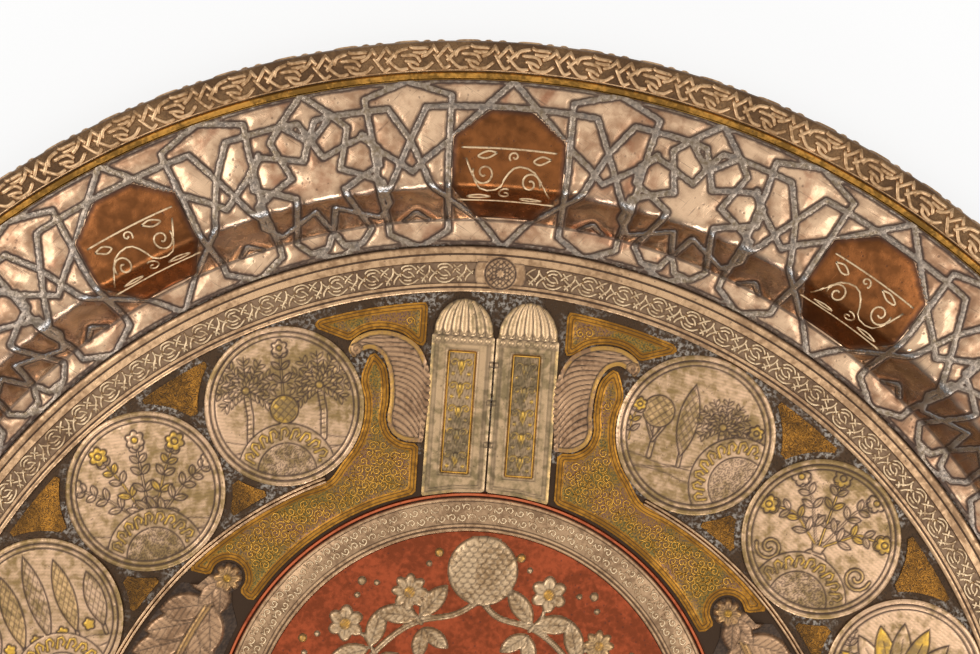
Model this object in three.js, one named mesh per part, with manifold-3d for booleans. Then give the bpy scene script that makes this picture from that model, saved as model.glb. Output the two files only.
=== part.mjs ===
// A round brass charger with a stepped well, overlaid with silver and copper.
// Millimetres, +Z up. The plate rests on z = 0, and +Y points to the pair of arched panels.

import * as THREE from 'three';
import { mergeVertices } from 'three/addons/utils/BufferGeometryUtils.js';
import Module from 'manifold-3d';

const wasm = await Module();
wasm.setup();

// The beaten brass body. What is laid out on the plan keeps its share of the plate's radius.
const plateRadius = 325;
const wellDepth = 22; // height of the flat rim above the floor of the well
const brassSheet = 1.6;
const wallFoot = 0.7883 * plateRadius; // radius at which floor and wall would meet, if the corner were sharp
const wallTop = 0.8271 * plateRadius; // the same for wall and rim
const rollCurve = 7;
const lipWidth = 2.6; // the edge turned down round the rim
const lipDrop = 3.6;
const lipCurve = 2.2;
const ringFacets = 48;

// Seams and overlay sheets
const seam = 0.3; // solder or chased line under a piece and round its edge
const bandSheet = 0.9;
const silverSheet = 0.6;
const copperSheet = 0.8;

// Outer interlace band and the brass wire inside it
const bandInner = 0.96 * plateRadius;
const wireWidth = 2.7;
const wireHeight = 1.3;

// Silver sheet with the strapwork, from the rim wire down to the floor
const sheetInner = 0.7557 * plateRadius;
const strapWidth = 3;
const starStrapWidth = 2.4;
const strapRelief = 0.7;
const plaques = 12; // copper plaques, one on each axis of the strapwork
const handLaid = 0.042; // drift of the hand-laid division, in radians at a quarter turn
const shieldAxis = 7.5; // degrees from a plaque's axis to the long shield beside it
const shieldTop = 0.9323 * plateRadius;
const shieldBottom = 0.7735 * plateRadius;
const shieldHalfTop = 3.15; // half width in degrees at the top corners
const shieldHalfBottom = 2.6;
const starAxis = 15;
const starCentre = 0.8425 * plateRadius; // centre radius of the eight-pointed star between the shields
const starDents = 0.0308 * plateRadius;
const starPoints = 0.0542 * plateRadius;
const wallSquash = 0.6; // how far the slope of the wall shortens the star as seen from above

// Copper plaques: an octagon bent over the wall
const plaqueTop = 0.912 * plateRadius;
const plaqueShoulder = 0.8788 * plateRadius; // radius of the upper side corners
const plaqueHip = 0.8215 * plateRadius; // radius of the lower side corners
const plaqueBottom = 0.7926 * plateRadius;
const plaqueHalfTop = 0.0246 * plateRadius;
const plaqueHalfWidth = 0.064 * plateRadius;
const plaqueHalfBottom = 0.0326 * plateRadius;

// Inner interlace band with its mouldings and round bosses
const innerBandInner = 0.6966 * plateRadius;
const channelOuter = 0.7323 * plateRadius;
const channelInner = 0.7083 * plateRadius;
const channelHeight = 0.7;
const mouldingHeight = 1.3;
const mouldingEdge = 0.8; // height of the mouldings at the sides of the band
const bosses = 4;
const bossRadius = 0.0215 * plateRadius;
const bossThickness = 1;
const bossChamfer = 0.8;

// Round medallions
const medallions = 16;
const medallionCircle = 0.5951 * plateRadius;
const medallionRadius = 0.1003 * plateRadius;
const medallionFirst = 25.7; // degrees from the arched panels to the nearest medallion
const medallionStep = 19.7;
const medallionThickness = 1;
const beadWidth = 2.4; // raised edge of a medallion
const beadHeight = 0.6;
const medallionFacets = 18;
const bossFacets = 12;

// Border wire inside the medallions
const borderRadius = 0.4905 * plateRadius;
const borderWireWidth = 1.8;
const borderWireHeight = 1.2;
const borderStart = 24; // degrees from the arched panels to each end of the wire

// Roundel, set towards the arched panels
const roundelShift = 0.1252 * plateRadius; // from the centre of the plate to the centre of the roundel
const roundelWireRadius = 0.3182 * plateRadius;
const roundelWireWidth = 1.5;
const roundelWireHeight = 1.6;
const roundelRingInner = 0.2726 * plateRadius;
const roundelRingHeight = 1.3;
const roundelRingEdge = 0.9;
const roundelDiscThickness = 0.8;
const roundelFacets = 36;

// Silver wreath in relief on the roundel
const reliefHeight = 1.2;
const wreathRadius = 0.1846 * plateRadius; // mean radius of the winding stem
const wreathSwing = 0.0308 * plateRadius;
const wreathWaves = 8;
const stemWidth = 3;
const stalkWidth = 2;
const blossomRadius = 0.0338 * plateRadius;
const blossomCircle = 0.2308 * plateRadius;
const blossomPetals = 6;
const petalDip = 0.74; // depth of the notches between petals, as a share of the radius
const rosetteRadius = 0.0923 * plateRadius;
const rosettePetals = 12;
const leafLength = 0.0462 * plateRadius;
const leafWidth = 0.0277 * plateRadius;

// Arched panels: two upright panels under fluted domes
const panelGap = 0.8; // between the two panels
const panelOuter = 0.0794 * plateRadius; // half width over both panels
const panelTop = 0.6406 * plateRadius;
const panelThickness = 1.6;
const insetHalf = 0.0194 * plateRadius; // half width of the sunk field in a panel
const insetTop = 0.6228 * plateRadius;
const insetBottom = 0.4658 * plateRadius;
const insetDepth = 0.6;
const frameWidth = 1;
const frameHeight = 0.9;
const domeHalf = 0.0375 * plateRadius;
const domeRise = 0.0462 * plateRadius;
const domeThickness = 2.1;
const domeSkirt = 1; // overlap of a dome on its panel
const flutes = 7;
const fluteWidth = 1.2;
const fluteEnd = 0.88; // share of the way up to the apex

// Feathered leaves beside the panels
const leafThickness = 1.7;
const leafFoot = 0.5034 * plateRadius;
const leafHeight = 0.0966 * plateRadius; // length of the straight side along the panel
const barbs = 6;
const barbWidth = 1;
const barbReach = 0.0369 * plateRadius;
const barbRise = 0.0185 * plateRadius;

// Brass panels with arabesque
const brassThickness = 1.2;
const ground = 2.2; // sunk ground left open between neighbouring pieces
const leafGround = 1.5; // the same round the feathered leaves
const cornerOuter = 0.6825 * plateRadius;
const cornerEnd = 19.1; // degrees at which a corner panel ends in a point
const panelEnd = 48.2; // degrees at which a long brass panel ends
const panelFoot = 44.2; // degrees at which it ends beside the roundel
const notchRadius = 0.0246 * plateRadius;
const notchPlace = 0.4462 * plateRadius; // distance of the notch from the centre of the plate
const notchAngle = 44.6;
const hornTop = 0.6111 * plateRadius; // tip of the horn between the leaf and the nearest medallion
const hornTipX = 0.1526 * plateRadius;
const hornTurn = 292; // the medallion's side that the horn follows, in degrees about the medallion
const hornFoot = 231;
const panelMeetsBorder = 23.4; // degrees about the plate where the panel reaches the border wire

// Silver sprays beside the roundel, with a bud in the notch of each long panel
const sprayThickness = 1.5;
const sprayStart = 52; // degrees
const sprayEnd = 84;
const sprayLobes = 5;
const lobeDepth = 0.0123 * plateRadius;
const budRadius = 0.0185 * plateRadius;
const budFacets = 14;
const neckWidth = 4;

// Pieces below the roundel
const lowerStart = 86; // degrees at which the lower brass panels begin
const cartoucheHalf = 0.0923 * plateRadius; // half width of the upright silver cartouche
const cartoucheEdge = 5; // width of the margin round its sunk field

const floorTop = brassSheet;
const rimTop = floorTop + wellDepth;
const bodyRadius = plateRadius - seam - bandSheet;
const bed = floorTop + seam; // underside of the pieces on the floor
const wireOuter = bandInner - seam;
const sheetOuter = wireOuter - wireWidth - seam;
const shieldOuter = sheetOuter - strapWidth / 2; // tips of the shields
const shieldInner = sheetInner + strapWidth / 2;
const innerBandOuter = sheetInner - seam;
const roundelRingOuter = roundelWireRadius - roundelWireWidth / 2 - seam;
const roundelEdge = roundelWireRadius + roundelWireWidth / 2;
const borderEdge = borderRadius - borderWireWidth / 2;

const plan = (x, y) => new THREE.Vector2(x, y);
const radians = THREE.MathUtils.degToRad;
const degrees = THREE.MathUtils.radToDeg;

// Place on the plate, by degrees clockwise from +Y and distance from the centre
const place = (turn, radius) => plan(radius * Math.sin(radians(turn)), radius * Math.cos(radians(turn)));

// The same in the hand-laid division of the strapwork
const laid = (turn, radius) => place(turn + degrees(handLaid * Math.sin(radians(turn))), radius);

// Materials
const finish = (color, roughness) => new THREE.MeshStandardMaterial({ color, roughness, metalness: 1 });
const bodyBrass = finish(0xa9803a, 0.42);
const goldBrass = finish(0xb98a2c, 0.38);
const bronzeSilver = finish(0xa58d70, 0.4);
const silver = finish(0xc9b9a2, 0.34);
const coinSilver = finish(0xa99b7d, 0.4);
const copper = finish(0x9c5426, 0.32);
const redCopper = finish(0xa5482a, 0.45);

const charger = new THREE.Group();

function add(name, geometry, material) {
  const mesh = new THREE.Mesh(geometry, material);
  mesh.name = name;
  charger.add(mesh);
  return mesh;
}

const numbered = (name, index) => `${name}_${String(index + 1).padStart(2, '0')}`;

// Lines and outlines

// An arc in place of the corner between two straight stretches of a line
function rounded(before, corner, after, radius, steps) {
  const back = before.clone().sub(corner).normalize();
  const ahead = after.clone().sub(corner).normalize();
  const half = Math.acos(back.dot(ahead)) / 2;
  const reach = radius / Math.tan(half);
  const middle = back.clone().add(ahead).normalize();
  const centre = corner.clone().addScaledVector(middle, radius / Math.sin(half));
  const start = corner.clone().addScaledVector(back, reach).sub(centre);
  const end = corner.clone().addScaledVector(ahead, reach).sub(centre);
  const sweep = Math.atan2(start.cross(end), start.dot(end));
  return Array.from({ length: steps + 1 }, (_, i) =>
    start.clone().rotateAround(plan(0, 0), (sweep * i) / steps).add(centre));
}

// A line moved to the left of its direction, with mitred corners
function offset(points, distance, closed = false) {
  const side = (from, to) => plan(from.y - to.y, to.x - from.x).normalize();
  const last = points.length - 1;
  return points.map((point, i) => {
    const before = points[i - 1] ?? (closed ? points[last] : null);
    const after = points[i + 1] ?? (closed ? points[0] : null);
    const first = before ? side(before, point) : side(point, after);
    const second = after ? side(point, after) : first;
    const mitre = first.clone().add(second).normalize();
    return point.clone().addScaledVector(mitre, distance / mitre.dot(first));
  });
}

// Points on an arc about a centre, from one angle to another, counted clockwise from +Y
function arc(centre, radius, from, to, steps) {
  return Array.from({ length: steps + 1 }, (_, i) =>
    place(from + ((to - from) * i) / steps, radius).add(centre));
}

// A strap of even width along a line
function strap(points, width, closed = false) {
  const left = offset(points, width / 2, closed);
  const right = offset(points, -width / 2, closed);
  if (!closed) return new THREE.Shape([...left, ...right.reverse()]);
  const leftIsOuter = Math.abs(THREE.ShapeUtils.area(left)) > Math.abs(THREE.ShapeUtils.area(right));
  const [outline, hole] = leftIsOuter ? [left, right] : [right, left];
  const shape = new THREE.Shape(outline);
  shape.holes.push(new THREE.Path(hole.reverse()));
  return shape;
}

// An outline on one side of the axis, closed by its mirror image
const bothSides = (points) => [...points, ...points.map((point) => plan(-point.x, point.y)).reverse()];

const mirrored = (points, side) => new THREE.Shape(points.map((point) => plan(point.x * side, point.y)));

// A flower's outline: petals round a centre
function flower(centre, radius, petals, dip) {
  return new THREE.Shape(Array.from({ length: petals * 2 }, (_, i) =>
    place((i * 180) / petals, i % 2 ? radius : radius * dip).add(centre)));
}

// Solids

// A profile (radius, height) turned round a vertical axis
const turned = (profile, facets) => new THREE.LatheGeometry(profile, facets).rotateX(Math.PI / 2);
const ring = (profile, facets) => turned([...profile, profile[0]], facets);
const disc = (rim, facets) => turned([plan(0, rim[0].y), ...rim, plan(0, rim.at(-1).y)], facets);

// A flat piece cut to an outline
function slab(shape, bottom, thickness, curveSegments = 6) {
  const geometry = new THREE.ExtrudeGeometry(shape, { depth: thickness, bevelEnabled: false, curveSegments });
  return geometry.translate(0, 0, bottom);
}

// A closed mesh as a solid that can be joined and cut, and back
function solid(geometry) {
  const bare = geometry.clone();
  bare.deleteAttribute('normal');
  bare.deleteAttribute('uv');
  const merged = mergeVertices(bare);
  const vertProperties = new Float32Array(merged.attributes.position.array);
  const triVerts = new Uint32Array(merged.index.array);
  return new wasm.Manifold(new wasm.Mesh({ numProp: 3, vertProperties, triVerts }));
}

function faces(body) {
  const mesh = body.getMesh();
  const geometry = new THREE.BufferGeometry();
  geometry.setAttribute('position', new THREE.BufferAttribute(mesh.vertProperties, 3));
  geometry.setIndex(new THREE.BufferAttribute(mesh.triVerts, 1));
  geometry.computeVertexNormals();
  return geometry;
}

const join = (geometries) => geometries.map(solid).reduce((whole, next) => whole.add(next));

// A groove with a V section, cut into a face from one point to another
function groove(from, to, width, height) {
  const length = from.distanceTo(to);
  const bar = new THREE.BoxGeometry(length, width / Math.SQRT2, width / Math.SQRT2).rotateX(Math.PI / 4);
  const middle = from.clone().lerp(to, 0.5);
  return bar.rotateZ(to.clone().sub(from).angle()).translate(middle.x, middle.y, height);
}

// The body

const rollCorner = [plan(wallFoot, floorTop), plan(wallTop, rimTop), plan(bodyRadius, rimTop)];
const lipStart = plan(bodyRadius - lipWidth, rimTop);
const lipEnd = plan(bodyRadius, rimTop - lipDrop);

// Upper face of the body, from the axis to the lip
const upperFace = [
  plan(0, floorTop),
  plan(wallFoot, floorTop),
  ...rounded(...rollCorner, rollCurve, 1),
  ...rounded(plan(wallTop, rimTop), lipStart, lipEnd, lipCurve, 1),
  lipEnd,
];

function onFace(radius) {
  const next = upperFace.findIndex((point) => point.x >= radius - 1e-6);
  const [from, to] = [upperFace[next - 1], upperFace[next]];
  return from.clone().lerp(to, (radius - from.x) / (to.x - from.x));
}

// A skin that follows the upper face between two radii and two heights over it
function skin(inner, outer, under, over) {
  const within = upperFace.filter((point) => point.x > inner + seam && point.x < outer - seam);
  const line = [onFace(inner), ...within, onFace(outer)];
  return ring([...offset(line, under), ...offset(line, over).reverse()], ringFacets);
}

function dish() {
  const under = offset(upperFace, -brassSheet).slice(1);
  return turned([plan(0, 0), ...under, ...upperFace.slice().reverse()], ringFacets);
}

// Rim

function rimWire() {
  const bottom = rimTop + seam;
  return ring([
    plan(wireOuter - wireWidth, bottom),
    plan(wireOuter, bottom),
    plan(wireOuter - wireWidth / 4, bottom + wireHeight),
    plan(wireOuter - (3 * wireWidth) / 4, bottom + wireHeight),
  ], ringFacets);
}

// The strapwork

// A point of a star, by its turn and reach from the star's centre; below the brink the wall slopes away
function starPlace(middle, turn, reach) {
  const along = reach * Math.cos(radians(turn));
  const across = reach * Math.sin(radians(turn));
  const onWall = Math.max(0, wallTop - starCentre - along);
  const radius = starCentre + along + onWall * (1 - wallSquash);
  return laid(middle + degrees(across / radius), radius);
}

// A shield beside a plaque's axis: six straight straps from the top edge of the sheet to its foot
function shield(axis, side) {
  const at = (turn, radius) => laid(axis + side * (shieldAxis + turn), radius);
  return strap([
    at(0, shieldOuter),
    at(shieldHalfTop, shieldTop),
    at(shieldHalfBottom, shieldBottom),
    at(0, shieldInner),
    at(-shieldHalfBottom, shieldBottom),
    at(-shieldHalfTop, shieldTop),
  ], strapWidth, true);
}

function star(axis) {
  const points = Array.from({ length: 16 }, (_, i) =>
    starPlace(axis + starAxis, i * 22.5, i % 2 ? starDents : starPoints));
  return strap(points, starStrapWidth, true);
}

function plaqueOutline(axis, grow) {
  const outline = offset(bothSides([
    plan(plaqueHalfTop, plaqueTop),
    plan(plaqueHalfWidth, plaqueShoulder),
    plan(plaqueHalfWidth, plaqueHip),
    plan(plaqueHalfBottom, plaqueBottom),
  ]), grow, true);
  const turn = -radians(axis) - handLaid * Math.sin(radians(axis));
  return new THREE.Shape(outline.map((point) => point.rotateAround(plan(0, 0), turn)));
}

// A block over a shape, from under the plate to over the rim
const cutter = (shape) => solid(slab(shape, -brassSheet, rimTop + 4 * brassSheet));

const axesOf = Array.from({ length: plaques }, (_, i) => (i * 360) / plaques);

function strapwork() {
  const top = seam + silverSheet;
  const relief = solid(skin(sheetInner, sheetOuter, top - silverSheet / 2, top + strapRelief));
  const lattice = axesOf.flatMap((axis) => [shield(axis, 1), shield(axis, -1), star(axis)]).map(cutter);
  const straps = lattice.reduce((whole, next) => whole.add(next)).intersect(relief);
  const sheet = solid(skin(sheetInner, sheetOuter, seam, top)).add(straps);
  return faces(axesOf.reduce((body, axis) => body.subtract(cutter(plaqueOutline(axis, seam))), sheet));
}

function plaque(axis) {
  const sheet = solid(skin(sheetInner, sheetOuter, seam, seam + copperSheet));
  return faces(sheet.intersect(cutter(plaqueOutline(axis, 0))));
}

// Inner band

function innerBand() {
  return ring([
    plan(innerBandInner, bed),
    plan(innerBandOuter, bed),
    plan(innerBandOuter, bed + mouldingEdge),
    plan((innerBandOuter + channelOuter) / 2, bed + mouldingHeight),
    plan(channelOuter, bed + channelHeight),
    plan(channelInner, bed + channelHeight),
    plan((innerBandInner + channelInner) / 2, bed + mouldingHeight),
    plan(innerBandInner, bed + mouldingEdge),
  ], ringFacets);
}

function boss() {
  const bottom = bed + mouldingHeight + seam;
  return disc([
    plan(bossRadius, bottom),
    plan(bossRadius, bottom + bossThickness / 2),
    plan(bossRadius - bossChamfer, bottom + bossThickness),
  ], bossFacets);
}

// Medallions

const medallionAngles = Array.from({ length: medallions }, (_, i) => {
  const step = medallionFirst + medallionStep * Math.floor(i / 2);
  return i % 2 ? -step : step;
});

function medallion() {
  const field = bed + medallionThickness;
  return disc([
    plan(medallionRadius, bed),
    plan(medallionRadius, field + beadHeight),
    plan(medallionRadius - beadWidth, field),
  ], medallionFacets);
}

// A wire with a flattened top, bent to a circle
function wireCircle(radius, width, height, facets) {
  return ring([
    plan(radius - width / 2, bed),
    plan(radius + width / 2, bed),
    plan(radius + width / 4, bed + height),
    plan(radius - width / 4, bed + height),
  ], facets);
}

// The border wire is left open where the arched panels stand
function borderWire() {
  const ends = [-borderStart, borderStart].map((turn) => place(turn, 2 * borderRadius));
  const wire = solid(wireCircle(borderRadius, borderWireWidth, borderWireHeight, ringFacets));
  return faces(wire.subtract(cutter(new THREE.Shape([plan(0, 0), ...ends]))));
}

// Roundel, drawn about its own centre

function roundelRing() {
  return ring([
    plan(roundelRingInner, bed),
    plan(roundelRingOuter, bed),
    plan(roundelRingOuter, bed + roundelRingEdge),
    plan(roundelRingInner, bed + roundelRingHeight),
  ], roundelFacets);
}

function roundelDisc() {
  const radius = roundelRingInner - seam;
  return disc([plan(radius, bed), plan(radius, bed + roundelDiscThickness)], roundelFacets);
}

function leaf(root, turn) {
  const along = place(turn, leafLength);
  const across = place(turn + 90, leafWidth / 2);
  const at = (share, side) => root.clone().addScaledVector(along, share).addScaledVector(across, side);
  return new THREE.Shape([at(0, 0), at(0.3, 0.9), at(0.6, 0.9), at(1, 0), at(0.6, -0.9), at(0.3, -0.9)]);
}

function wreath() {
  const stem = Array.from({ length: wreathWaves * 4 }, (_, i) =>
    place((i * 90) / wreathWaves, wreathRadius + wreathSwing * Math.cos((i * Math.PI) / 2)));
  const shapes = [strap(stem, stemWidth, true), flower(plan(0, 0), rosetteRadius, rosettePetals, petalDip)];
  for (let i = 0; i < wreathWaves; i += 1) {
    const crest = (i * 360) / wreathWaves;
    const trough = crest + 180 / wreathWaves;
    shapes.push(strap([place(trough, rosetteRadius * petalDip), place(trough, blossomCircle)], stalkWidth));
    shapes.push(flower(place(trough, blossomCircle), blossomRadius, blossomPetals, petalDip));
    shapes.push(leaf(place(crest, wreathRadius + wreathSwing), crest));
  }
  const bottom = bed + roundelDiscThickness + seam;
  return faces(join(shapes.map((shape) => slab(shape, bottom, reliefHeight))));
}

// Outlines on the right-hand side of the plate; the left-hand side is their mirror image

const roundelCentre = plan(0, roundelShift);
const roundelGround = roundelEdge + ground;
const borderGround = borderEdge - seam;

// Height of the circle about the roundel at a distance from the axis
const aboveRoundel = (x, radius) => roundelShift + Math.sqrt(radius ** 2 - x ** 2);
const belowRoundel = (x, radius) => roundelShift - Math.sqrt(radius ** 2 - x ** 2);

// Distance from the plate's centre to a circle about the roundel, in a given direction
function roundelReach(turn, radius) {
  const along = roundelShift * Math.cos(radians(turn));
  return along + Math.sqrt(along ** 2 + radius ** 2 - roundelShift ** 2);
}

// Direction from a centre to a point, in degrees clockwise from +Y
function bearing(centre, point) {
  const away = point.clone().sub(centre);
  return (degrees(Math.atan2(away.x, away.y)) + 360) % 360;
}

// An arc of the circle about the roundel, between two directions from the plate's centre
function roundelArc(radius, from, to, steps) {
  const ends = [from, to].map((turn) => place(turn, roundelReach(turn, radius)));
  const [start, end] = ends.map((point) => bearing(roundelCentre, point));
  return arc(roundelCentre, radius, start, end, steps);
}

const panelInner = panelGap / 2;
const panelMiddle = (panelInner + panelOuter) / 2;

function archedPanel(side) {
  const foot = roundelEdge + seam;
  const lower = [panelOuter, panelMiddle, panelInner].map((x) => plan(x, aboveRoundel(x, foot)));
  const body = mirrored([plan(panelInner, panelTop), plan(panelOuter, panelTop), ...lower], side);
  const dome = Array.from({ length: 11 }, (_, i) => {
    const turn = (i * Math.PI) / 10;
    return plan(panelMiddle - domeHalf * Math.cos(turn), panelTop + domeRise * Math.sin(turn));
  });
  const skirt = [1, -1].map((end) => plan(panelMiddle + end * domeHalf, panelTop - domeSkirt));
  const inset = new THREE.BoxGeometry(2 * insetHalf, insetTop - insetBottom, 2 * insetDepth);
  inset.translate(side * panelMiddle, (insetTop + insetBottom) / 2, bed + panelThickness);
  const domeSlab = slab(mirrored([...dome, ...skirt], side), bed, domeThickness);
  const sheet = join([slab(body, bed, panelThickness), domeSlab]).subtract(solid(inset));
  const apex = plan(side * panelMiddle, panelTop + domeRise);
  const cuts = Array.from({ length: flutes - 1 }, (_, i) => {
    const across = domeHalf * ((2 * (i + 1)) / flutes - 1);
    const start = plan(side * (panelMiddle + across), panelTop - domeSkirt);
    return groove(start, start.clone().lerp(apex, fluteEnd), fluteWidth, bed + domeThickness);
  });
  return faces(sheet.subtract(join(cuts)));
}

function inlayFrame(side) {
  const inset = frameWidth / 2 + seam;
  const [left, right] = [panelMiddle - insetHalf + inset, panelMiddle + insetHalf - inset];
  const [low, high] = [insetBottom + inset, insetTop - inset];
  const line = [plan(left, low), plan(right, low), plan(right, high), plan(left, high)];
  const shape = strap(line.map((point) => plan(point.x * side, point.y)), frameWidth, true);
  return slab(shape, bed + panelThickness - insetDepth + seam, frameHeight);
}

// Feathered leaf: its back, from the arched panel over to the curled tip, and its front down to the root,
// as shares of the height of its straight side
const leafRoot = panelOuter + 3 * seam;
const leafBack = [[0, 1], [0.14, 1.24], [0.36, 1.37], [0.62, 1.41], [0.84, 1.36], [1, 1.24], [1.035, 1.115],
  [0.965, 1.03]];
const leafFront = [[0.88, 1.11], [0.77, 1.165], [0.63, 1.115], [0.525, 0.955], [0.475, 0.745], [0.46, 0.49],
  [0.475, 0.27], [0.41, 0.11], [0.28, 0.02], [0, 0]];
const leafLine = [...leafBack, ...leafFront].map(([across, up]) =>
  plan(leafRoot + across * leafHeight, leafFoot + up * leafHeight));

function featheredLeaf(side) {
  const step = leafHeight / (barbs + 1);
  const cuts = Array.from({ length: barbs }, (_, i) => {
    const root = plan(side * leafRoot, leafFoot + (i + 1) * step);
    const end = plan(root.x + side * barbReach, root.y + barbRise);
    return groove(root.clone().lerp(end, -0.1), end, barbWidth, bed + leafThickness);
  });
  return faces(solid(slab(mirrored(leafLine, side), bed, leafThickness)).subtract(join(cuts)));
}

const nearMedallion = place(medallionFirst, medallionCircle);

function cornerPanel(side) {
  const inner = leafRoot + ground;
  const start = degrees(Math.asin(inner / cornerOuter));
  const top = arc(plan(0, 0), cornerOuter, start, cornerEnd, 4);
  const towardsTip = top.at(-1).clone().sub(nearMedallion).normalize();
  const besideMedallion = nearMedallion.clone().addScaledVector(towardsTip, medallionRadius + ground);
  const besideLeaf = offset(leafLine, leafGround, true).slice(1, 6).reverse();
  const corner = plan(inner, besideLeaf.at(-1).y);
  return slab(mirrored([...top, besideMedallion, ...besideLeaf, corner], side), bed, brassThickness);
}

function longPanel(side) {
  const left = leafRoot + ground;
  const start = plan(left, aboveRoundel(left, roundelGround));
  const notch = place(notchAngle, notchPlace);
  const end = place(panelEnd, borderGround);
  const foot = place(panelFoot, roundelReach(panelFoot, roundelGround));
  const [from, to] = [end, foot].map((point) => bearing(notch, point));
  const besideLeaf = offset(leafLine, leafGround, true).slice(11, 17).reverse();
  const points = [
    start,
    plan(left, leafFoot - leafGround),
    ...besideLeaf,
    plan(hornTipX, hornTop),
    ...arc(nearMedallion, medallionRadius + ground / 2, hornTurn, hornFoot, 5),
    ...arc(plan(0, 0), borderGround, panelMeetsBorder, panelEnd, 5),
    ...arc(notch, notchRadius, from, to - 360, 6),
    ...roundelArc(roundelGround, panelFoot, bearing(plan(0, 0), start), 5),
  ];
  return slab(mirrored(points.slice(0, -1), side), bed, brassThickness);
}

// Silver spray: a lobed leaf along the roundel, with a bud on a neck
function sideSpray(side) {
  const steps = sprayLobes * 4;
  const lobes = Array.from({ length: steps + 1 }, (_, i) => {
    const turn = sprayStart + ((sprayEnd - sprayStart) * i) / steps;
    return place(turn, borderGround - ground - lobeDepth * Math.abs(Math.cos((i * Math.PI) / 4)));
  });
  const spray = mirrored([...lobes, ...roundelArc(roundelGround, sprayEnd, sprayStart, 6)], side);
  const bud = place(notchAngle, notchPlace);
  const heart = place(sprayStart + 2, notchPlace);
  const edges = [offset([bud, heart], neckWidth / 2), offset([heart, bud], neckWidth / 2)];
  const neck = mirrored(edges.flat(), side);
  const round = mirrored(arc(bud, budRadius, 0, 360, budFacets).slice(1), side);
  return faces(join([spray, neck, round].map((shape) => slab(shape, bed, sprayThickness))));
}

// Pieces below the roundel

// A brass panel from the side of the roundel down to the cartouche
function lowerPanel(side) {
  const inside = cartoucheHalf + ground;
  const innerEnd = bearing(plan(0, 0), plan(inside, belowRoundel(inside, roundelGround)));
  const outerEnd = 180 - degrees(Math.asin(inside / borderGround));
  const points = [
    ...roundelArc(roundelGround, innerEnd, lowerStart, 8),
    ...arc(plan(0, 0), borderGround, lowerStart, outerEnd, 8),
  ];
  return slab(mirrored(points, side), bed, brassThickness);
}

// A silver cartouche with a sunk field
function cartouche() {
  const outline = (margin) => {
    const edge = cartoucheHalf - margin;
    const [top, bottom] = [roundelGround + margin, borderGround - margin];
    const turn = degrees(Math.asin(edge / bottom));
    const upper = [edge / 3, edge].map((x) => plan(x, belowRoundel(x, top)));
    const lower = arc(plan(0, 0), bottom, 180 - turn, 180 - turn / 3, 1);
    return new THREE.Shape(bothSides([...upper, ...lower]));
  };
  const field = slab(outline(cartoucheEdge), bed + panelThickness - insetDepth, 2 * insetDepth);
  return faces(solid(slab(outline(0), bed, panelThickness)).subtract(solid(field)));
}

// A brass filler between the two lowest medallions
function lowerSpandrel() {
  const centre = place(medallionAngles.at(-2), medallionCircle);
  const reach = medallionRadius + ground;
  const inner = borderRadius + borderWireWidth / 2 + ground / 2;
  const outer = innerBandInner - ground;
  const [top, bottom] = [inner, outer].map((radius) => {
    const cosine = (medallionCircle ** 2 + reach ** 2 - radius ** 2) / (2 * medallionCircle * reach);
    return bearing(centre, plan(0, 0)) - degrees(Math.acos(cosine));
  });
  const beside = arc(centre, reach, top, bottom, 6);
  const over = arc(plan(0, 0), inner, 180, bearing(plan(0, 0), beside[0]), 2).slice(1, -1);
  const below = arc(plan(0, 0), outer, bearing(plan(0, 0), beside.at(-1)), 180, 5).slice(1, -1);
  return slab(new THREE.Shape(bothSides([...over, ...beside, ...below])), bed, brassThickness);
}

add('dish', dish(), bodyBrass);
add('rim_interlace_band', skin(bandInner, bodyRadius, seam, seam + bandSheet), bronzeSilver);
add('rim_wire', rimWire(), goldBrass);
add('silver_strapwork', strapwork(), silver);
axesOf.forEach((axis, i) => add(numbered('copper_plaque', i), plaque(axis), copper));
add('inner_interlace_band', innerBand(), silver);
for (let i = 0; i < bosses; i += 1) {
  const at = place((i * 360) / bosses, (channelOuter + channelInner) / 2);
  add(numbered('band_boss', i), boss(), silver).position.set(at.x, at.y, 0);
}
medallionAngles.forEach((angle, i) => {
  const at = place(angle, medallionCircle);
  add(numbered('medallion', i), medallion(), coinSilver).position.set(at.x, at.y, 0);
});
add('border_wire', borderWire(), silver);

const copperWire = wireCircle(roundelWireRadius, roundelWireWidth, roundelWireHeight, roundelFacets);
const roundel = [
  add('roundel_disc', roundelDisc(), redCopper),
  add('roundel_ring', roundelRing(), coinSilver),
  add('roundel_wire', copperWire, copper),
  add('roundel_wreath', wreath(), silver),
];
for (const piece of roundel) piece.position.y = roundelShift;

for (const [name, side] of [['right', 1], ['left', -1]]) {
  add(`arched_panel_${name}`, archedPanel(side), silver);
  add(`inlay_frame_${name}`, inlayFrame(side), goldBrass);
  add(`feathered_leaf_${name}`, featheredLeaf(side), silver);
  add(`corner_panel_${name}`, cornerPanel(side), goldBrass);
  add(`long_panel_${name}`, longPanel(side), goldBrass);
  add(`side_spray_${name}`, sideSpray(side), silver);
  add(`lower_panel_${name}`, lowerPanel(side), goldBrass);
}
add('cartouche', cartouche(), silver);
add('lower_spandrel', lowerSpandrel(), goldBrass);

export default charger;
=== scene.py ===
import math

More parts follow.
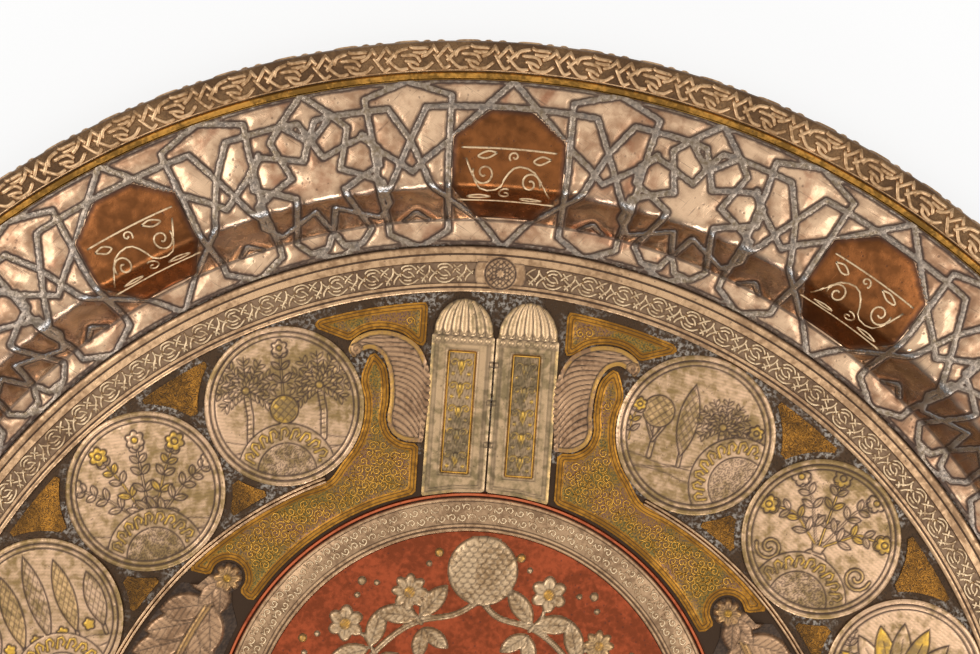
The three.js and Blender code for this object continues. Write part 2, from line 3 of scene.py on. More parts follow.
import bmesh
import bpy
import numpy as np
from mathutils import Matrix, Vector


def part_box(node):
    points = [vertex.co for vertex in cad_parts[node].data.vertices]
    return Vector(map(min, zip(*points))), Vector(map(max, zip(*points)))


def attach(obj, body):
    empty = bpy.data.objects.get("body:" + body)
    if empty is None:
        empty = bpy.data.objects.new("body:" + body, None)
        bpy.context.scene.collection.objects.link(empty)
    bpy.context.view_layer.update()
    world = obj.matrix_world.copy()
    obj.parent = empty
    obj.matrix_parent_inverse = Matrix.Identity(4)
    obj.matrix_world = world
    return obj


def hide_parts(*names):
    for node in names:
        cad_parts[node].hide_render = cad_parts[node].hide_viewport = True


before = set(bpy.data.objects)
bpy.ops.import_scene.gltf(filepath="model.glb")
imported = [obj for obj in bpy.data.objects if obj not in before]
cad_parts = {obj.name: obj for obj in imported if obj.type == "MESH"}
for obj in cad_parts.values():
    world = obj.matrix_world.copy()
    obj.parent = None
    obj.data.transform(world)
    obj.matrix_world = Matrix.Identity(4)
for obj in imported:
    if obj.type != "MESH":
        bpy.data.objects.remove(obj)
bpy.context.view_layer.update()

# A round brass charger with a stepped well, overlaid with silver and copper.
# Patterns and outlines are drawn in millimetres, and a mesh gets its vertices in metres. Angles on the
# plate are in degrees clockwise from +Y, where the pair of arched panels stands.

MM = 0.001


# Sizes of the body, from the frame and the profile of the solids

def box_mm(node):
    low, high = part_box(node)
    return np.array(low) / MM, np.array(high) / MM


PLATE_RADIUS = box_mm("rim_interlace_band")[1][0]
BODY_RADIUS = box_mm("dish")[1][0]
RIM_TOP = box_mm("dish")[1][2]
SHEET = 1.6  # thickness of the beaten brass
FLOOR = SHEET
BED = box_mm("medallion_01")[0][2]
WALL_FOOT = 256.2
WALL_TOP = 268.8
FOOT_CURVE = 3  # radius of the bend at the wall's foot
ROLL_CURVE = 7  # radius of the roll between wall and rim
LIP_WIDTH = 2.6
LIP_DROP = 3.6
LIP_CURVE = 2.2
BAND_INNER = 312
BAND_SHEET = 0.9
SHEET_INNER = 245.6
SHEET_OUTER = box_mm("silver_strapwork")[1][0]
HAND_LAID = 0.042  # drift of the hand-laid division of the strapwork
PLAQUES = 12
RING_STEPS = 360
FINE_WIRE = 1.0  # narrower wires have four sides


# Places on the plate

def direction(turn):
    turn = np.radians(turn)
    return np.stack([np.sin(turn), np.cos(turn)], -1)


def bearing(vector):
    """Angle on the plate of a vector (x, y)."""
    return math.degrees(math.atan2(*vector))


def place(turn, radius):
    return direction(np.asarray(turn, float)) * np.asarray(radius, float)[..., None]


def rounded(before, corner, after, radius, steps=8):
    """An arc in place of the corner between two straight stretches of a profile."""
    before, corner, after = (np.array(point, float) for point in (before, corner, after))
    back = (before - corner) / np.linalg.norm(before - corner)
    ahead = (after - corner) / np.linalg.norm(after - corner)
    half = math.acos(np.clip(back @ ahead, -1, 1)) / 2
    middle = (back + ahead) / np.linalg.norm(back + ahead)
    centre = corner + middle * radius / math.sin(half)
    start = corner + back * radius / math.tan(half) - centre
    end = corner + ahead * radius / math.tan(half) - centre
    sweep = math.atan2(start[0] * end[1] - start[1] * end[0], start @ end)
    turns = np.linspace(0, sweep, steps + 1)[:, None]
    return centre + start * np.cos(turns) + np.array([-start[1], start[0]]) * np.sin(turns)


FOOT = (WALL_FOOT, FLOOR)
BRINK = (WALL_TOP, RIM_TOP)
LIP_START = (BODY_RADIUS - LIP_WIDTH, RIM_TOP)
LIP_END = (BODY_RADIUS, RIM_TOP - LIP_DROP)
SURFACE = np.vstack([
    [(0, FLOOR)],
    rounded((0, FLOOR), FOOT, BRINK, FOOT_CURVE),
    rounded(FOOT, BRINK, LIP_START, ROLL_CURVE, 12),
    rounded(BRINK, LIP_START, LIP_END, LIP_CURVE, 6),
    [LIP_END],
])
ALONG = np.concatenate([[0], np.cumsum(np.linalg.norm(np.diff(SURFACE, axis=0), axis=1))])


def along_at(radius):
    """Length of the upper face from the axis out to a radius."""
    return np.interp(radius, SURFACE[:, 0], ALONG)


def section(along, lift):
    """Radius and height of points that lie at a length along the upper face, lifted off it."""
    radius = np.interp(along, ALONG, SURFACE[:, 0])
    ahead = np.interp(along + 0.5, ALONG, SURFACE[:, 0]), np.interp(along + 0.5, ALONG, SURFACE[:, 1])
    behind = np.interp(along - 0.5, ALONG, SURFACE[:, 0]), np.interp(along - 0.5, ALONG, SURFACE[:, 1])
    run, climb = ahead[0] - behind[0], ahead[1] - behind[1]
    length = np.hypot(run, climb)
    return radius - climb / length * lift, np.interp(along, ALONG, SURFACE[:, 1]) + run / length * lift


def laid(turn):
    """Angle in the hand-laid division of the strapwork."""
    return turn + np.degrees(HAND_LAID * np.sin(np.radians(turn)))


# Making meshes

def finish_piece(name, mesh, material, node, slot):
    """Puts a mesh in the scene as a piece of the charger, in place of a node of the frame if it has one."""
    mesh.name = name
    mesh.materials.append(material)
    piece = bpy.data.objects.new(name, mesh)
    bpy.context.scene.collection.objects.link(piece)
    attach(piece, "root")
    if node:
        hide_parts(node)


def coordinates(mesh):
    points = np.empty(len(mesh.vertices) * 3)
    mesh.vertices.foreach_get("co", points)
    return points.reshape(-1, 3)


def set_coordinates(mesh, points):
    mesh.vertices.foreach_set("co", np.ascontiguousarray(points, float).ravel())
    mesh.update()


def set_mask(mesh, name, values):
    layer = mesh.attributes.new(name, "FLOAT", "POINT")
    layer.data.foreach_set("value", np.ascontiguousarray(values, np.float32))


def to_mesh(bm, smooth=True):
    mesh = bpy.data.meshes.new("piece")
    bm.to_mesh(mesh)
    bm.free()
    mesh.polygons.foreach_set("use_smooth", np.full(len(mesh.polygons), smooth))
    return mesh


def closed_mesh(bm, sharp=None):
    """A mesh with its faces turned outwards. Edges that bend by more than so many degrees are sharp."""
    bmesh.ops.recalc_face_normals(bm, faces=bm.faces)
    if sharp:
        for edge in bm.edges:
            if len(edge.link_faces) == 2 and edge.calc_face_angle() > math.radians(sharp):
                edge.smooth = False
    return to_mesh(bm)


def spun(profile, steps=RING_STEPS, closed=True, sharp=35):
    """A profile (radius, height) in millimetres, turned round the plate's axis."""
    bm = bmesh.new()
    verts = [bm.verts.new((0, radius * MM, height * MM)) for radius, height in profile]
    pairs = zip(verts, verts[1:] + verts[:1]) if closed else zip(verts, verts[1:])
    edges = [bm.edges.new(pair) for pair in pairs]
    bmesh.ops.spin(bm, geom=verts + edges, cent=(0, 0, 0), axis=(0, 0, -1), angle=math.tau, steps=steps,
                   use_merge=True)
    bmesh.ops.remove_doubles(bm, verts=bm.verts, dist=1e-6)
    return closed_mesh(bm, sharp)


def poly_curve(lines, dimensions, closed):
    """A curve with straight stretches along each line of points (x, y, z), in millimetres."""
    curve = bpy.data.curves.new("line", "CURVE")
    curve.dimensions = dimensions
    for line in lines:
        points = np.ones((len(line), 4))
        points[:, :3] = np.asarray(line) * MM
        spline = curve.splines.new("POLY")
        spline.points.add(len(line) - 1)
        spline.points.foreach_set("co", points.ravel())
        spline.use_cyclic_u = closed
    return curve


def swept(lines, width, height, closed=False, shoulder=0.3, sunk=0.15):
    """Raised wires or straps of even width along lines of points (x, y, z), in millimetres."""
    half = width / 2
    side, top = half * (1 - shoulder / 2), half * (1 - 2 * shoulder)
    low, middle = -sunk, height * 0.55
    profile = [(-half, low, 0), (half, low, 0), (side, middle, 0),
               (top, height, 0), (-top, height, 0), (-side, middle, 0)]
    if width < FINE_WIRE:
        profile = profile[:2] + profile[3:5]
    profile_object = bpy.data.objects.new("profile", poly_curve([profile], "2D", True))
    curve = poly_curve(lines, "3D", closed)
    curve.twist_mode = "Z_UP"
    curve.bevel_mode = "OBJECT"
    curve.bevel_object = profile_object
    curve.use_fill_caps = True
    path = bpy.data.objects.new("path", curve)
    bpy.context.scene.collection.objects.link(path)
    bpy.context.view_layer.update()
    raw = bpy.data.meshes.new_from_object(path.evaluated_get(bpy.context.evaluated_depsgraph_get()))
    for helper in (path, profile_object):
        bpy.data.objects.remove(helper)
    bm = bmesh.new()
    bm.from_mesh(raw)
    bmesh.ops.remove_doubles(bm, verts=bm.verts, dist=2e-6)
    bpy.data.meshes.remove(raw)
    return closed_mesh(bm)


# Drawing in relief. A form is its middle, its reach, and a function for how far points lie inside it.

def distance(points, centre):
    return np.hypot(points[:, 0] - centre[0], points[:, 1] - centre[1])


def segment_spot(points, start, end):
    """The nearest place to each point on a straight stretch."""
    step = end - start
    share = np.clip((points - start) @ step / max(step @ step, 1e-9), 0, 1)
    return start + share[:, None] * step


def line_distance(points, line):
    line = np.asarray(line, float)
    best = np.full(len(points), 1e3)
    for start, end in zip(line[:-1], line[1:]):
        best = np.minimum(best, np.hypot(*(points - segment_spot(points, start, end)).T))
    return best


def edge_distance(points, outline):
    """Distance from a closed outline."""
    return line_distance(points, np.vstack([outline, outline[:1]]))


def knob(centre, radius):
    return centre, radius, lambda points: radius - distance(points, centre)


def stroke(line, width):
    line = np.asarray(line, float)
    centre = (line.min(0) + line.max(0)) / 2
    reach = np.hypot(*(line - centre).T).max() + width
    return centre, reach, lambda points: width / 2 - line_distance(points, line)


def leaf(root, tip, half):
    """A leaf between two arcs, from its root to its tip."""
    root, tip = np.array(root, float), np.array(tip, float)
    axis = tip - root
    length = np.hypot(*axis)
    across = np.array([-axis[1], axis[0]]) / length
    bend = (length ** 2 / 4 + half ** 2) / (2 * half)
    middle = (root + tip) / 2
    ends = middle + across * (bend - half), middle - across * (bend - half)

    def inside(points):
        return bend - np.maximum(distance(points, ends[0]), distance(points, ends[1]))
    return middle, length / 2, inside


def blossom(centre, radius, petals):
    def inside(points):
        out = points - centre
        edge = radius * (0.72 + 0.28 * np.abs(np.cos(np.arctan2(out[:, 0], out[:, 1]) * petals / 2)))
        return (edge - np.hypot(*out.T)) * 0.8
    return centre, radius, inside


def polygon(corners):
    """Inside distance of a closed outline."""
    corners = np.asarray(corners, float)
    centre = (corners.min(0) + corners.max(0)) / 2
    reach = np.hypot(*(corners - centre).T).max()

    def inside(points):
        return edge_distance(points, corners) * np.where(within(points, corners), 1, -1)
    return centre, reach, inside


def within(points, corners):
    """Whether points lie in a closed outline."""
    hit = np.zeros(len(points), bool)
    x, y = points[:, 0], points[:, 1]
    for (x0, y0), (x1, y1) in zip(corners, np.roll(corners, -1, axis=0)):
        if y0 != y1:
            hit ^= ((y0 > y) != (y1 > y)) & (x < (x1 - x0) * (y - y0) / (y1 - y0) + x0)
    return hit


def spiral(centre, radius, turns, start, hand=1, steps=26):
    """A scroll that winds in from its outer end."""
    share = np.linspace(0, 1, steps)
    angle = np.radians(start) + hand * share * turns * math.tau
    reach = radius * (1 - 0.82 * share)
    return np.stack([centre[0] + reach * np.sin(angle), centre[1] + reach * np.cos(angle)], -1)


def cushion(share):
    """A rounded rise from 0 to 1."""
    return np.sqrt(1 - (1 - np.clip(share, 0, 1)) ** 2)


class Relief:
    """A drawing over a sheet: heights in millimetres, dark engraved lines and gilt parts."""

    def __init__(self, points, fine):
        self.points = points
        self.fine = fine
        self.height = np.zeros(len(points))
        self.dark = np.zeros(len(points))
        self.gilt = np.zeros(len(points))
        self.masks = {}

    def near(self, form):
        centre, reach, inside = form
        at = np.nonzero(distance(self.points, centre) < reach + 1.5)[0]
        return at, inside(self.points[at])

    def cover(self, inside):
        return np.clip(inside / self.fine + 0.5, 0, 1)

    def cut(self, cover, depth, dark=1.0, at=slice(None)):
        """Darkens and sinks the sheet by how far it is covered."""
        self.dark[at] = np.maximum(self.dark[at], cover * dark)
        self.height[at] -= depth * cover

    def swell(self, form, rise=0.5, soft=1.2, base=0.0, gilt=0.0, outline=0.55):
        """A rounded shape that stands on the sheet, with a line round it."""
        at, inside = self.near(form)
        mask = self.cover(inside)
        self.height[at] += mask * (base + rise * cushion(inside / soft) - self.height[at])
        self.dark[at] *= 1 - mask
        self.gilt[at] += mask * (gilt - self.gilt[at])
        self.cut(self.cover(outline / 2 - np.abs(inside)), 0.08, at=at)

    def enlarge(self, scale):
        """Makes what is drawn from now on so many times larger, about the middle of the sheet."""
        self.points /= scale
        self.fine /= scale

    def engrave(self, line, width=0.35, depth=0.1, strength=1.0):
        at, inside = self.near(stroke(line, width))
        self.cut(self.cover(inside) * strength, depth, at=at)

    def sink(self, form, dark, depth):
        """Lowers what lies inside a form."""
        at, inside = self.near(form)
        self.cut(self.cover(inside), depth, dark, at)

    def round_edge(self, edge, depth, width):
        """Bends the sheet down along its outline, edge being the distance from it."""
        self.height -= depth * np.clip(1 - edge / width, 0, 1) ** 2

    def hatch(self, form, turn, spacing, width=0.3, strength=0.8, depth=0.06):
        """Parallel engraved lines inside a form."""
        at, inside = self.near(form)
        across = self.points[at] @ direction(turn)
        lines = self.cover(width / 2 - np.abs((across / spacing) % 1 - 0.5) * spacing)
        self.cut(lines * self.cover(inside) * strength, depth, at=at)

    def stipple(self, form, seed):
        """Punched dots inside a form."""
        at, inside = self.near(form)
        dots = (np.random.default_rng(seed).random(len(at)) < 0.45) * self.cover(inside)
        self.cut(dots, 0.08, 0.7, at)


def mirrored(side, design, *details):
    """A drawing for the right or the left half, made with x counted outwards."""
    def drawn(relief):
        relief.points[:, 0] *= side
        design(relief, *details)
        relief.points[:, 0] *= side
    return drawn


def nearest_on(points, corners):
    """The nearest point of a closed outline to each point."""
    best = np.full(len(points), 1e9)
    found = points.copy()
    for start, end in zip(corners, np.roll(corners, -1, axis=0)):
        spot = segment_spot(points, start, end)
        gap = np.hypot(*(points - spot).T)
        closer = gap < best
        best = np.where(closer, gap, best)
        found[closer] = spot[closer]
    return found


def relief_sheet(outline, step, design, lay, thickness, curved=False):
    """A closed sheet cut to an outline, with a drawing on its face. lay puts (u, v, height) in place."""
    outline = np.asarray(outline, float)
    low, high = outline.min(0), outline.max(0)
    cells = np.maximum(np.ceil((high - low) / step).astype(int), 2)
    bm = bmesh.new()
    bmesh.ops.create_grid(bm, x_segments=int(cells[0]), y_segments=int(cells[1]), size=0.5)
    flat = np.array([vert.co[:2] for vert in bm.verts])
    flat = low + (flat + 0.5) * (high - low)
    margin = 0.35 * step
    keep = within(flat, outline)
    for shift in ((margin, 0), (-margin, 0), (0, margin), (0, -margin)):
        keep &= within(flat + shift, outline)
    for vert, spot in zip(bm.verts, flat):
        vert.co = (*spot, 0)
    outside = [vert for vert, kept in zip(bm.verts, keep) if not kept]
    bmesh.ops.delete(bm, geom=outside, context="VERTS")
    loose = [vert for vert in bm.verts if not vert.link_faces]
    bmesh.ops.delete(bm, geom=loose, context="VERTS")
    rim = [edge for edge in bm.edges if edge.is_boundary]
    edge_verts = list({vert for edge in rim for vert in edge.verts})
    for vert, spot in zip(edge_verts, nearest_on(np.array([vert.co[:2] for vert in edge_verts]), outline)):
        vert.co = (*spot, 0)
    for edge in rim:
        edge.smooth = False
    if curved:
        bmesh.ops.solidify(bm, geom=list(bm.verts) + list(bm.edges) + list(bm.faces), thickness=1)
    else:
        walls = bmesh.ops.extrude_edge_only(bm, edges=rim)["geom"]
        for part in walls:
            if isinstance(part, bmesh.types.BMVert):
                part.co.z = -1
        bmesh.ops.edgeloop_fill(bm, edges=[part for part in walls if isinstance(part, bmesh.types.BMEdge)])
    mesh = closed_mesh(bm)
    points = coordinates(mesh)
    middle = (points[:, 2].min() + points[:, 2].max()) / 2
    under = points[:, 2] < middle
    relief = Relief(points[:, :2].copy(), step)
    design(relief)
    height = np.where(under, -thickness, relief.height)
    set_coordinates(mesh, lay(points[:, 0], points[:, 1], height) * MM)
    for mask, values in {"dark": relief.dark, "gilt": relief.gilt, **relief.masks}.items():
        set_mask(mesh, mask, values)
    return mesh


def on_floor(turn=0.0, radius=0.0, lift=BED, face=None):
    """Lays a drawing flat on the floor, with its v axis pointing outwards or towards face."""
    spin = math.radians(-turn if face is None else -face)
    centre = place(turn, radius)

    def lay(u, v, height):
        x = centre[0] + u * math.cos(spin) - v * math.sin(spin)
        y = centre[1] + u * math.sin(spin) + v * math.cos(spin)
        return np.stack([x, y, lift + height], -1)
    return lay


def on_wall(axis, lift):
    """Wraps a drawing over rim and wall: u runs round the plate and v along its upper face."""
    def lay(u, v, height):
        radius, level = section(v, lift + height)
        spot = place(laid(axis + np.degrees(u / np.interp(v, ALONG, SURFACE[:, 0]))), radius)
        return np.column_stack([spot, level])
    return lay


# Finishes. The shared effects are node groups, and each finish is a material with its own values for them.

def linear(code):
    """A colour written as in a paint box, for a shader's socket."""
    parts = [int(code[i:i + 2], 16) / 255 for i in (1, 3, 5)]
    return [*[c / 12.92 if c < 0.04045 else ((c + 0.055) / 1.055) ** 2.4 for c in parts], 1]


class Nodes:
    """Adds shader nodes to a tree. An input is a value, a colour or another node's output."""

    def __init__(self, tree):
        self.tree = tree

    def add(self, kind, inputs=None, out=0, **settings):
        node = self.tree.nodes.new("ShaderNode" + kind)
        for key, value in settings.items():
            setattr(node, key, value)
        for key, value in (inputs or {}).items():
            self.feed(node.inputs[key], value)
        return node.outputs[out]

    def feed(self, socket, value):
        if isinstance(value, bpy.types.NodeSocket):
            self.tree.links.new(value, socket)
        else:
            socket.default_value = linear(value) if isinstance(value, str) else value

    def math(self, operation, *values, clamp=False):
        return self.add("Math", dict(enumerate(values)), operation=operation, use_clamp=clamp)

    def times(self, first, second):
        return self.math("MULTIPLY", first, second)

    def times_plus(self, first, second, third):
        return self.math("MULTIPLY_ADD", first, second, third)

    def most(self, first, second):
        return self.math("MAXIMUM", first, second)

    def gap(self, first, second):
        return self.math("ABSOLUTE", self.math("SUBTRACT", first, second))

    def mix(self, share, first, second):
        return self.add("Mix", {0: share, 6: first, 7: second}, out=2, data_type="RGBA")

    def span(self, value, low, high, to_low=0.0, to_high=1.0, smooth=False):
        limits = {"Value": value, "From Min": low, "From Max": high, "To Min": to_low, "To Max": to_high}
        return self.add("MapRange", limits, interpolation_type="SMOOTHSTEP" if smooth else "LINEAR")

    def spot(self):
        """The place on the object, in metres."""
        return self.add("TexCoord", out=3)

    def noise(self, vector, scale, detail=3.0, distortion=0.0):
        inputs = {"Vector": vector, "Scale": scale, "Detail": detail, "Distortion": distortion}
        return self.add("TexNoise", inputs)

    def mask(self, name):
        return self.add("Attribute", out=2, attribute_name=name)


def effect(name, inputs, outputs):
    """An empty node group with named sockets: inputs by name and value, and outputs by name."""
    group = bpy.data.node_groups.new(name, "ShaderNodeTree")
    for label, value in inputs.items():
        socket = group.interface.new_socket(label, in_out="INPUT", socket_type="NodeSocketFloat")
        socket.default_value = value
    for label in outputs:
        group.interface.new_socket(label, in_out="OUTPUT", socket_type="NodeSocketFloat")
    nodes = Nodes(group)
    given = group.nodes.new("NodeGroupInput").outputs
    result = group.nodes.new("NodeGroupOutput").inputs
    return group, nodes, given, result


def make_tarnish():
    """Clouds of tarnish with fine speckle in them."""
    group, nodes, given, result = effect("tarnish_clouds", {"Scale": 40, "Cover": 0.5, "Speckle": 0.4},
                                         ["Mask"])
    spot = nodes.spot()
    wide = nodes.noise(spot, given["Scale"], 4, 0.6)
    fine = nodes.noise(spot, nodes.times(given["Scale"], 9.0), 5, 0.3)
    both = nodes.times_plus(nodes.math("SUBTRACT", fine, 0.5), given["Speckle"], wide)
    edge = nodes.math("SUBTRACT", 0.95, given["Cover"])
    mask = nodes.span(nodes.math("SUBTRACT", both, edge), -0.18, 0.2, smooth=True)
    group.links.new(mask, result["Mask"])
    return group


def make_struck():
    """Hammer dents, grain and small pits."""
    group, nodes, given, result = effect(
        "struck_surface", {"Dents": 90, "Depth": 0.4, "Grain": 900, "Roughness": 0.3}, ["Height", "Pits"])
    spot = nodes.spot()
    dents = nodes.add("TexVoronoi", {"Vector": spot, "Scale": given["Dents"], "Smoothness": 0.6},
                      feature="SMOOTH_F1")
    grain = nodes.noise(spot, given["Grain"], 4)
    pits = nodes.add("TexVoronoi", {"Vector": spot, "Scale": nodes.times(given["Grain"], 0.45)})
    shown = nodes.math("GREATER_THAN", nodes.noise(spot, nodes.times(given["Grain"], 0.12), 2), 0.56)
    pit = nodes.times(nodes.span(pits, 0.1, 0.28, 1.0, 0.0), shown)
    height = nodes.times(dents, given["Depth"])
    height = nodes.times_plus(grain, given["Roughness"], height)
    group.links.new(nodes.times_plus(pit, -0.25, height), result["Height"])
    group.links.new(pit, result["Pits"])
    return group


def make_chasing():
    """Close curling lines, cut with a chasing tool."""
    group, nodes, given, result = effect("chased_curls", {"Scale": 300, "Width": 0.05}, ["Lines"])
    spot = nodes.spot()
    curls = nodes.noise(spot, given["Scale"], 1.2, 1.4)
    turns = nodes.math("FRACT", nodes.times(curls, 7.0))
    edge = nodes.math("ADD", 0.1, given["Width"])
    group.links.new(nodes.span(nodes.gap(turns, 0.5), 0.08, edge, 1.0, 0.0), result["Lines"])
    return group


def make_scratches():
    """Fine wear scratches in two directions."""
    group, nodes, given, result = effect("wear_scratches", {"Length": 30, "Width": 1200}, ["Marks"])
    spot = nodes.spot()
    marks = []
    for turn in (0.5, -0.9):
        turned = nodes.add("VectorRotate", {"Vector": spot, "Angle": turn}, rotation_type="Z_AXIS")
        stretch = nodes.add("CombineXYZ", {"X": given["Length"], "Y": given["Width"], "Z": given["Length"]})
        run = nodes.add("VectorMath", {0: turned, 1: stretch}, operation="MULTIPLY")
        marks.append(nodes.span(nodes.noise(run, 1.0, 2), 0.66, 0.74))
    group.links.new(nodes.most(*marks), result["Marks"])
    return group


EFFECTS = {"tarnish": make_tarnish(), "struck": make_struck(), "chasing": make_chasing(),
           "scratches": make_scratches()}


def place_effect(nodes, name, **values):
    node = nodes.tree.nodes.new("ShaderNodeGroup")
    node.node_tree = EFFECTS[name]
    for label, value in values.items():
        node.inputs[label].default_value = value
    return node.outputs


def metal(name, colour, tarnish, recess, gilt="#b98d33", clouds=40, cover=0.5, speckle=0.4, dents=90,
          depth=0.3, grain=1100, rough=0.3, shine=0.34, dull=0.55, bump=0.12, curls=None, extra=None):
    """A metal with tarnish, dents and wear. A drawing's masks darken its lines and gild its gilt parts."""
    material = bpy.data.materials.new(name)
    material.use_nodes = True
    nodes = Nodes(material.node_tree)
    shader = material.node_tree.nodes["Principled BSDF"]
    clouded = place_effect(nodes, "tarnish", Scale=clouds, Cover=cover, Speckle=speckle)["Mask"]
    struck = place_effect(nodes, "struck", Dents=dents, Depth=depth, Grain=grain, Roughness=rough)
    marks = place_effect(nodes, "scratches")["Marks"]
    dark, gold = nodes.mask("dark"), nodes.mask("gilt")
    face = nodes.mix(gold, nodes.mix(clouded, colour, tarnish), nodes.mix(clouded, gilt, tarnish))
    height = nodes.times_plus(marks, -0.05, struck["Height"])
    if curls:
        lines = place_effect(nodes, "chasing", Scale=curls[0], Width=curls[1])["Lines"]
        dark = nodes.most(dark, nodes.times(lines, curls[2]))
        height = nodes.times_plus(lines, -0.9, height)
    grime_and_shade = nodes.math("MAXIMUM", dark, nodes.times(struck["Pits"], 0.55), clamp=True)
    if extra:
        face, grime_and_shade, height = extra(nodes, face, grime_and_shade, height)
    worn = nodes.times_plus(marks, -0.06, nodes.span(clouded, 0, 1, shine, dull))
    nodes.feed(shader.inputs["Base Color"], nodes.mix(grime_and_shade, face, recess))
    nodes.feed(shader.inputs["Roughness"], nodes.times_plus(grime_and_shade, 0.2, worn))
    nodes.feed(shader.inputs["Metallic"], nodes.span(grime_and_shade, 0, 1, 1, 0.45))
    relief = nodes.add("Bump", {"Height": height, "Strength": bump, "Distance": 0.0006})
    nodes.feed(shader.inputs["Normal"], relief)
    return material


# Places on the plate for the shaders, in metres from its axis as seen from above
CREASE_PLACE = 0.2555  # the crease in the silver at the wall's foot, where a line of shade is painted
# Where the painted reflection tone on the wall fades in and fades out.
WALL_START = (0.2565, 0.259)
WALL_END = (0.2675, 0.27)
WELL_REACH = 0.25
GROUND_LEVEL = 0.0014  # height over which the brass in the well is ground between the pieces
STIPPLED_FROM = 0.161


def plan_reach(nodes, spot):
    """Distance from the plate's axis as seen from above, and the height."""
    axes = nodes.add("SeparateXYZ", {"Vector": spot}).node.outputs
    flat = nodes.add("CombineXYZ", {"X": axes["X"], "Y": axes["Y"]})
    return nodes.add("VectorMath", {0: flat}, out=1, operation="LENGTH"), axes["Z"]


def straps(nodes, face, grime_and_shade, height):
    """Lead-grey straps with chisel marks between dark joints, over silver tiles with copper wear. Also
    painted: shade along the crease at the wall's foot, and a reflection tone on the wall that greys the
    tiles and lightens the straps.
    """
    gap = nodes.mask("strap")
    spot = nodes.spot()
    wobble = nodes.times(nodes.math("SUBTRACT", nodes.noise(spot, 420, 3), 0.5), 0.9)
    gap = nodes.math("ADD", gap, wobble)
    on_strap = nodes.span(gap, 0.95, 1.2, 1, 0)
    joint = nodes.times(nodes.span(gap, 0.85, 1.15), nodes.span(gap, 1.5, 2.3, 1, 0))
    copper_wear = nodes.span(nodes.noise(spot, 40, 7, 1.2), 0.55, 0.66)
    face = nodes.mix(nodes.times(copper_wear, 0.65), face, "#a0684b")
    reach = nodes.add("VectorMath", {0: spot}, out=1, operation="LENGTH")
    # Painted reflection tone on the wall: the silver tiles there are mixed towards a darker grey.
    wall_painted_tone = nodes.times(nodes.span(reach, *WALL_START), nodes.span(reach, *WALL_END, 1, 0))
    face = nodes.mix(nodes.times(wall_painted_tone, 0.65), face, "#8f8077")
    patchy = nodes.span(nodes.noise(spot, 130, 4), 0.42, 0.62, 0.15, 0.75)
    shade = nodes.times(nodes.span(gap, 1.6, 5.0, 1.0, 0), patchy)
    face = nodes.mix(shade, face, "#7a5943")
    streaks = place_effect(nodes, "scratches", Length=70, Width=1500)["Marks"]
    grime_and_shade = nodes.most(grime_and_shade, nodes.times(streaks, 0.5))
    chisel = nodes.noise(spot, 650, 3)
    tone = nodes.mix(nodes.span(nodes.noise(spot, 90, 3), 0.42, 0.58), "#786d64", "#7e6d58")
    lead = nodes.mix(nodes.span(chisel, 0.36, 0.66), tone, "#a59484")
    # Painted reflection tone on the wall: the straps there are lightened towards a pale grey.
    lead = nodes.mix(nodes.times(wall_painted_tone, 0.65), lead, "#bcc0c4")
    face = nodes.mix(on_strap, face, lead)
    grime_and_shade = nodes.most(nodes.times(grime_and_shade, nodes.math("SUBTRACT", 1.0, on_strap)), joint)
    # Painted shade: a dark line along the crease at the wall's foot, added to the grime mask.
    foot = nodes.gap(plan_reach(nodes, spot)[0], CREASE_PLACE)
    grime_and_shade = nodes.most(grime_and_shade, nodes.times(nodes.span(foot, 0.0003, 0.0008, 1, 0), 0.8))
    height = nodes.times_plus(nodes.times(chisel, on_strap), 1.2, height)
    return face, nodes.times(grime_and_shade, 0.92), height


def speckled(nodes, face, grime_and_shade, height):
    """Two lines in the border, and a punched ground with violet and green tarnish inside it."""
    edge = nodes.mask("edge")
    low = nodes.span(edge, 2.9, 3.3)
    lines = [nodes.span(nodes.gap(edge, inset), 0.12, 0.28, 1, 0) for inset in (0.9, 2.3)]
    grime_and_shade = nodes.most(grime_and_shade, nodes.times(nodes.most(*lines), 0.75))
    spot = nodes.spot()
    dots = nodes.add("TexVoronoi", {"Vector": spot, "Scale": 1100.0})
    tint = nodes.mix(nodes.span(nodes.noise(spot, 60, 3), 0.42, 0.58), "#7d5b4e", "#635c39")
    tint = nodes.mix(nodes.span(nodes.noise(spot, 1300, 2), 0.42, 0.6), tint, "#9b7231")
    face = nodes.mix(low, face, tint)
    punched = nodes.times(nodes.span(dots, 0.15, 0.4, 1, 0), low)
    grime_and_shade = nodes.most(grime_and_shade, nodes.times(punched, 0.75))
    return face, grime_and_shade, nodes.times_plus(punched, -0.5, height)


def dish_zones(nodes, face, grime_and_shade, height):
    """Dark stippled ground between the pieces on the floor, and plain beaten brass elsewhere."""
    spot = nodes.spot()
    reach, level = plan_reach(nodes, spot)
    inside = nodes.times(nodes.math("LESS_THAN", reach, WELL_REACH),
                         nodes.math("GREATER_THAN", level, GROUND_LEVEL))
    dots = nodes.span(nodes.add("TexVoronoi", {"Vector": spot, "Scale": 900.0}), 0.2, 0.45, 1, 0)
    stippled = nodes.times(inside, nodes.math("GREATER_THAN", reach, STIPPLED_FROM))
    patches = nodes.span(nodes.noise(spot, 70, 3), 0.46, 0.6)
    flecks = nodes.times(patches, nodes.span(nodes.noise(spot, 620, 3), 0.45, 0.6))
    tint = nodes.mix(flecks, "#4b3a2c", "#9a9085")
    face = nodes.mix(inside, face, nodes.mix(stippled, "#44352a", tint))
    dark = nodes.times(nodes.times(dots, stippled), 0.8)
    return face, nodes.most(grime_and_shade, dark), nodes.times_plus(dark, -0.8, height)


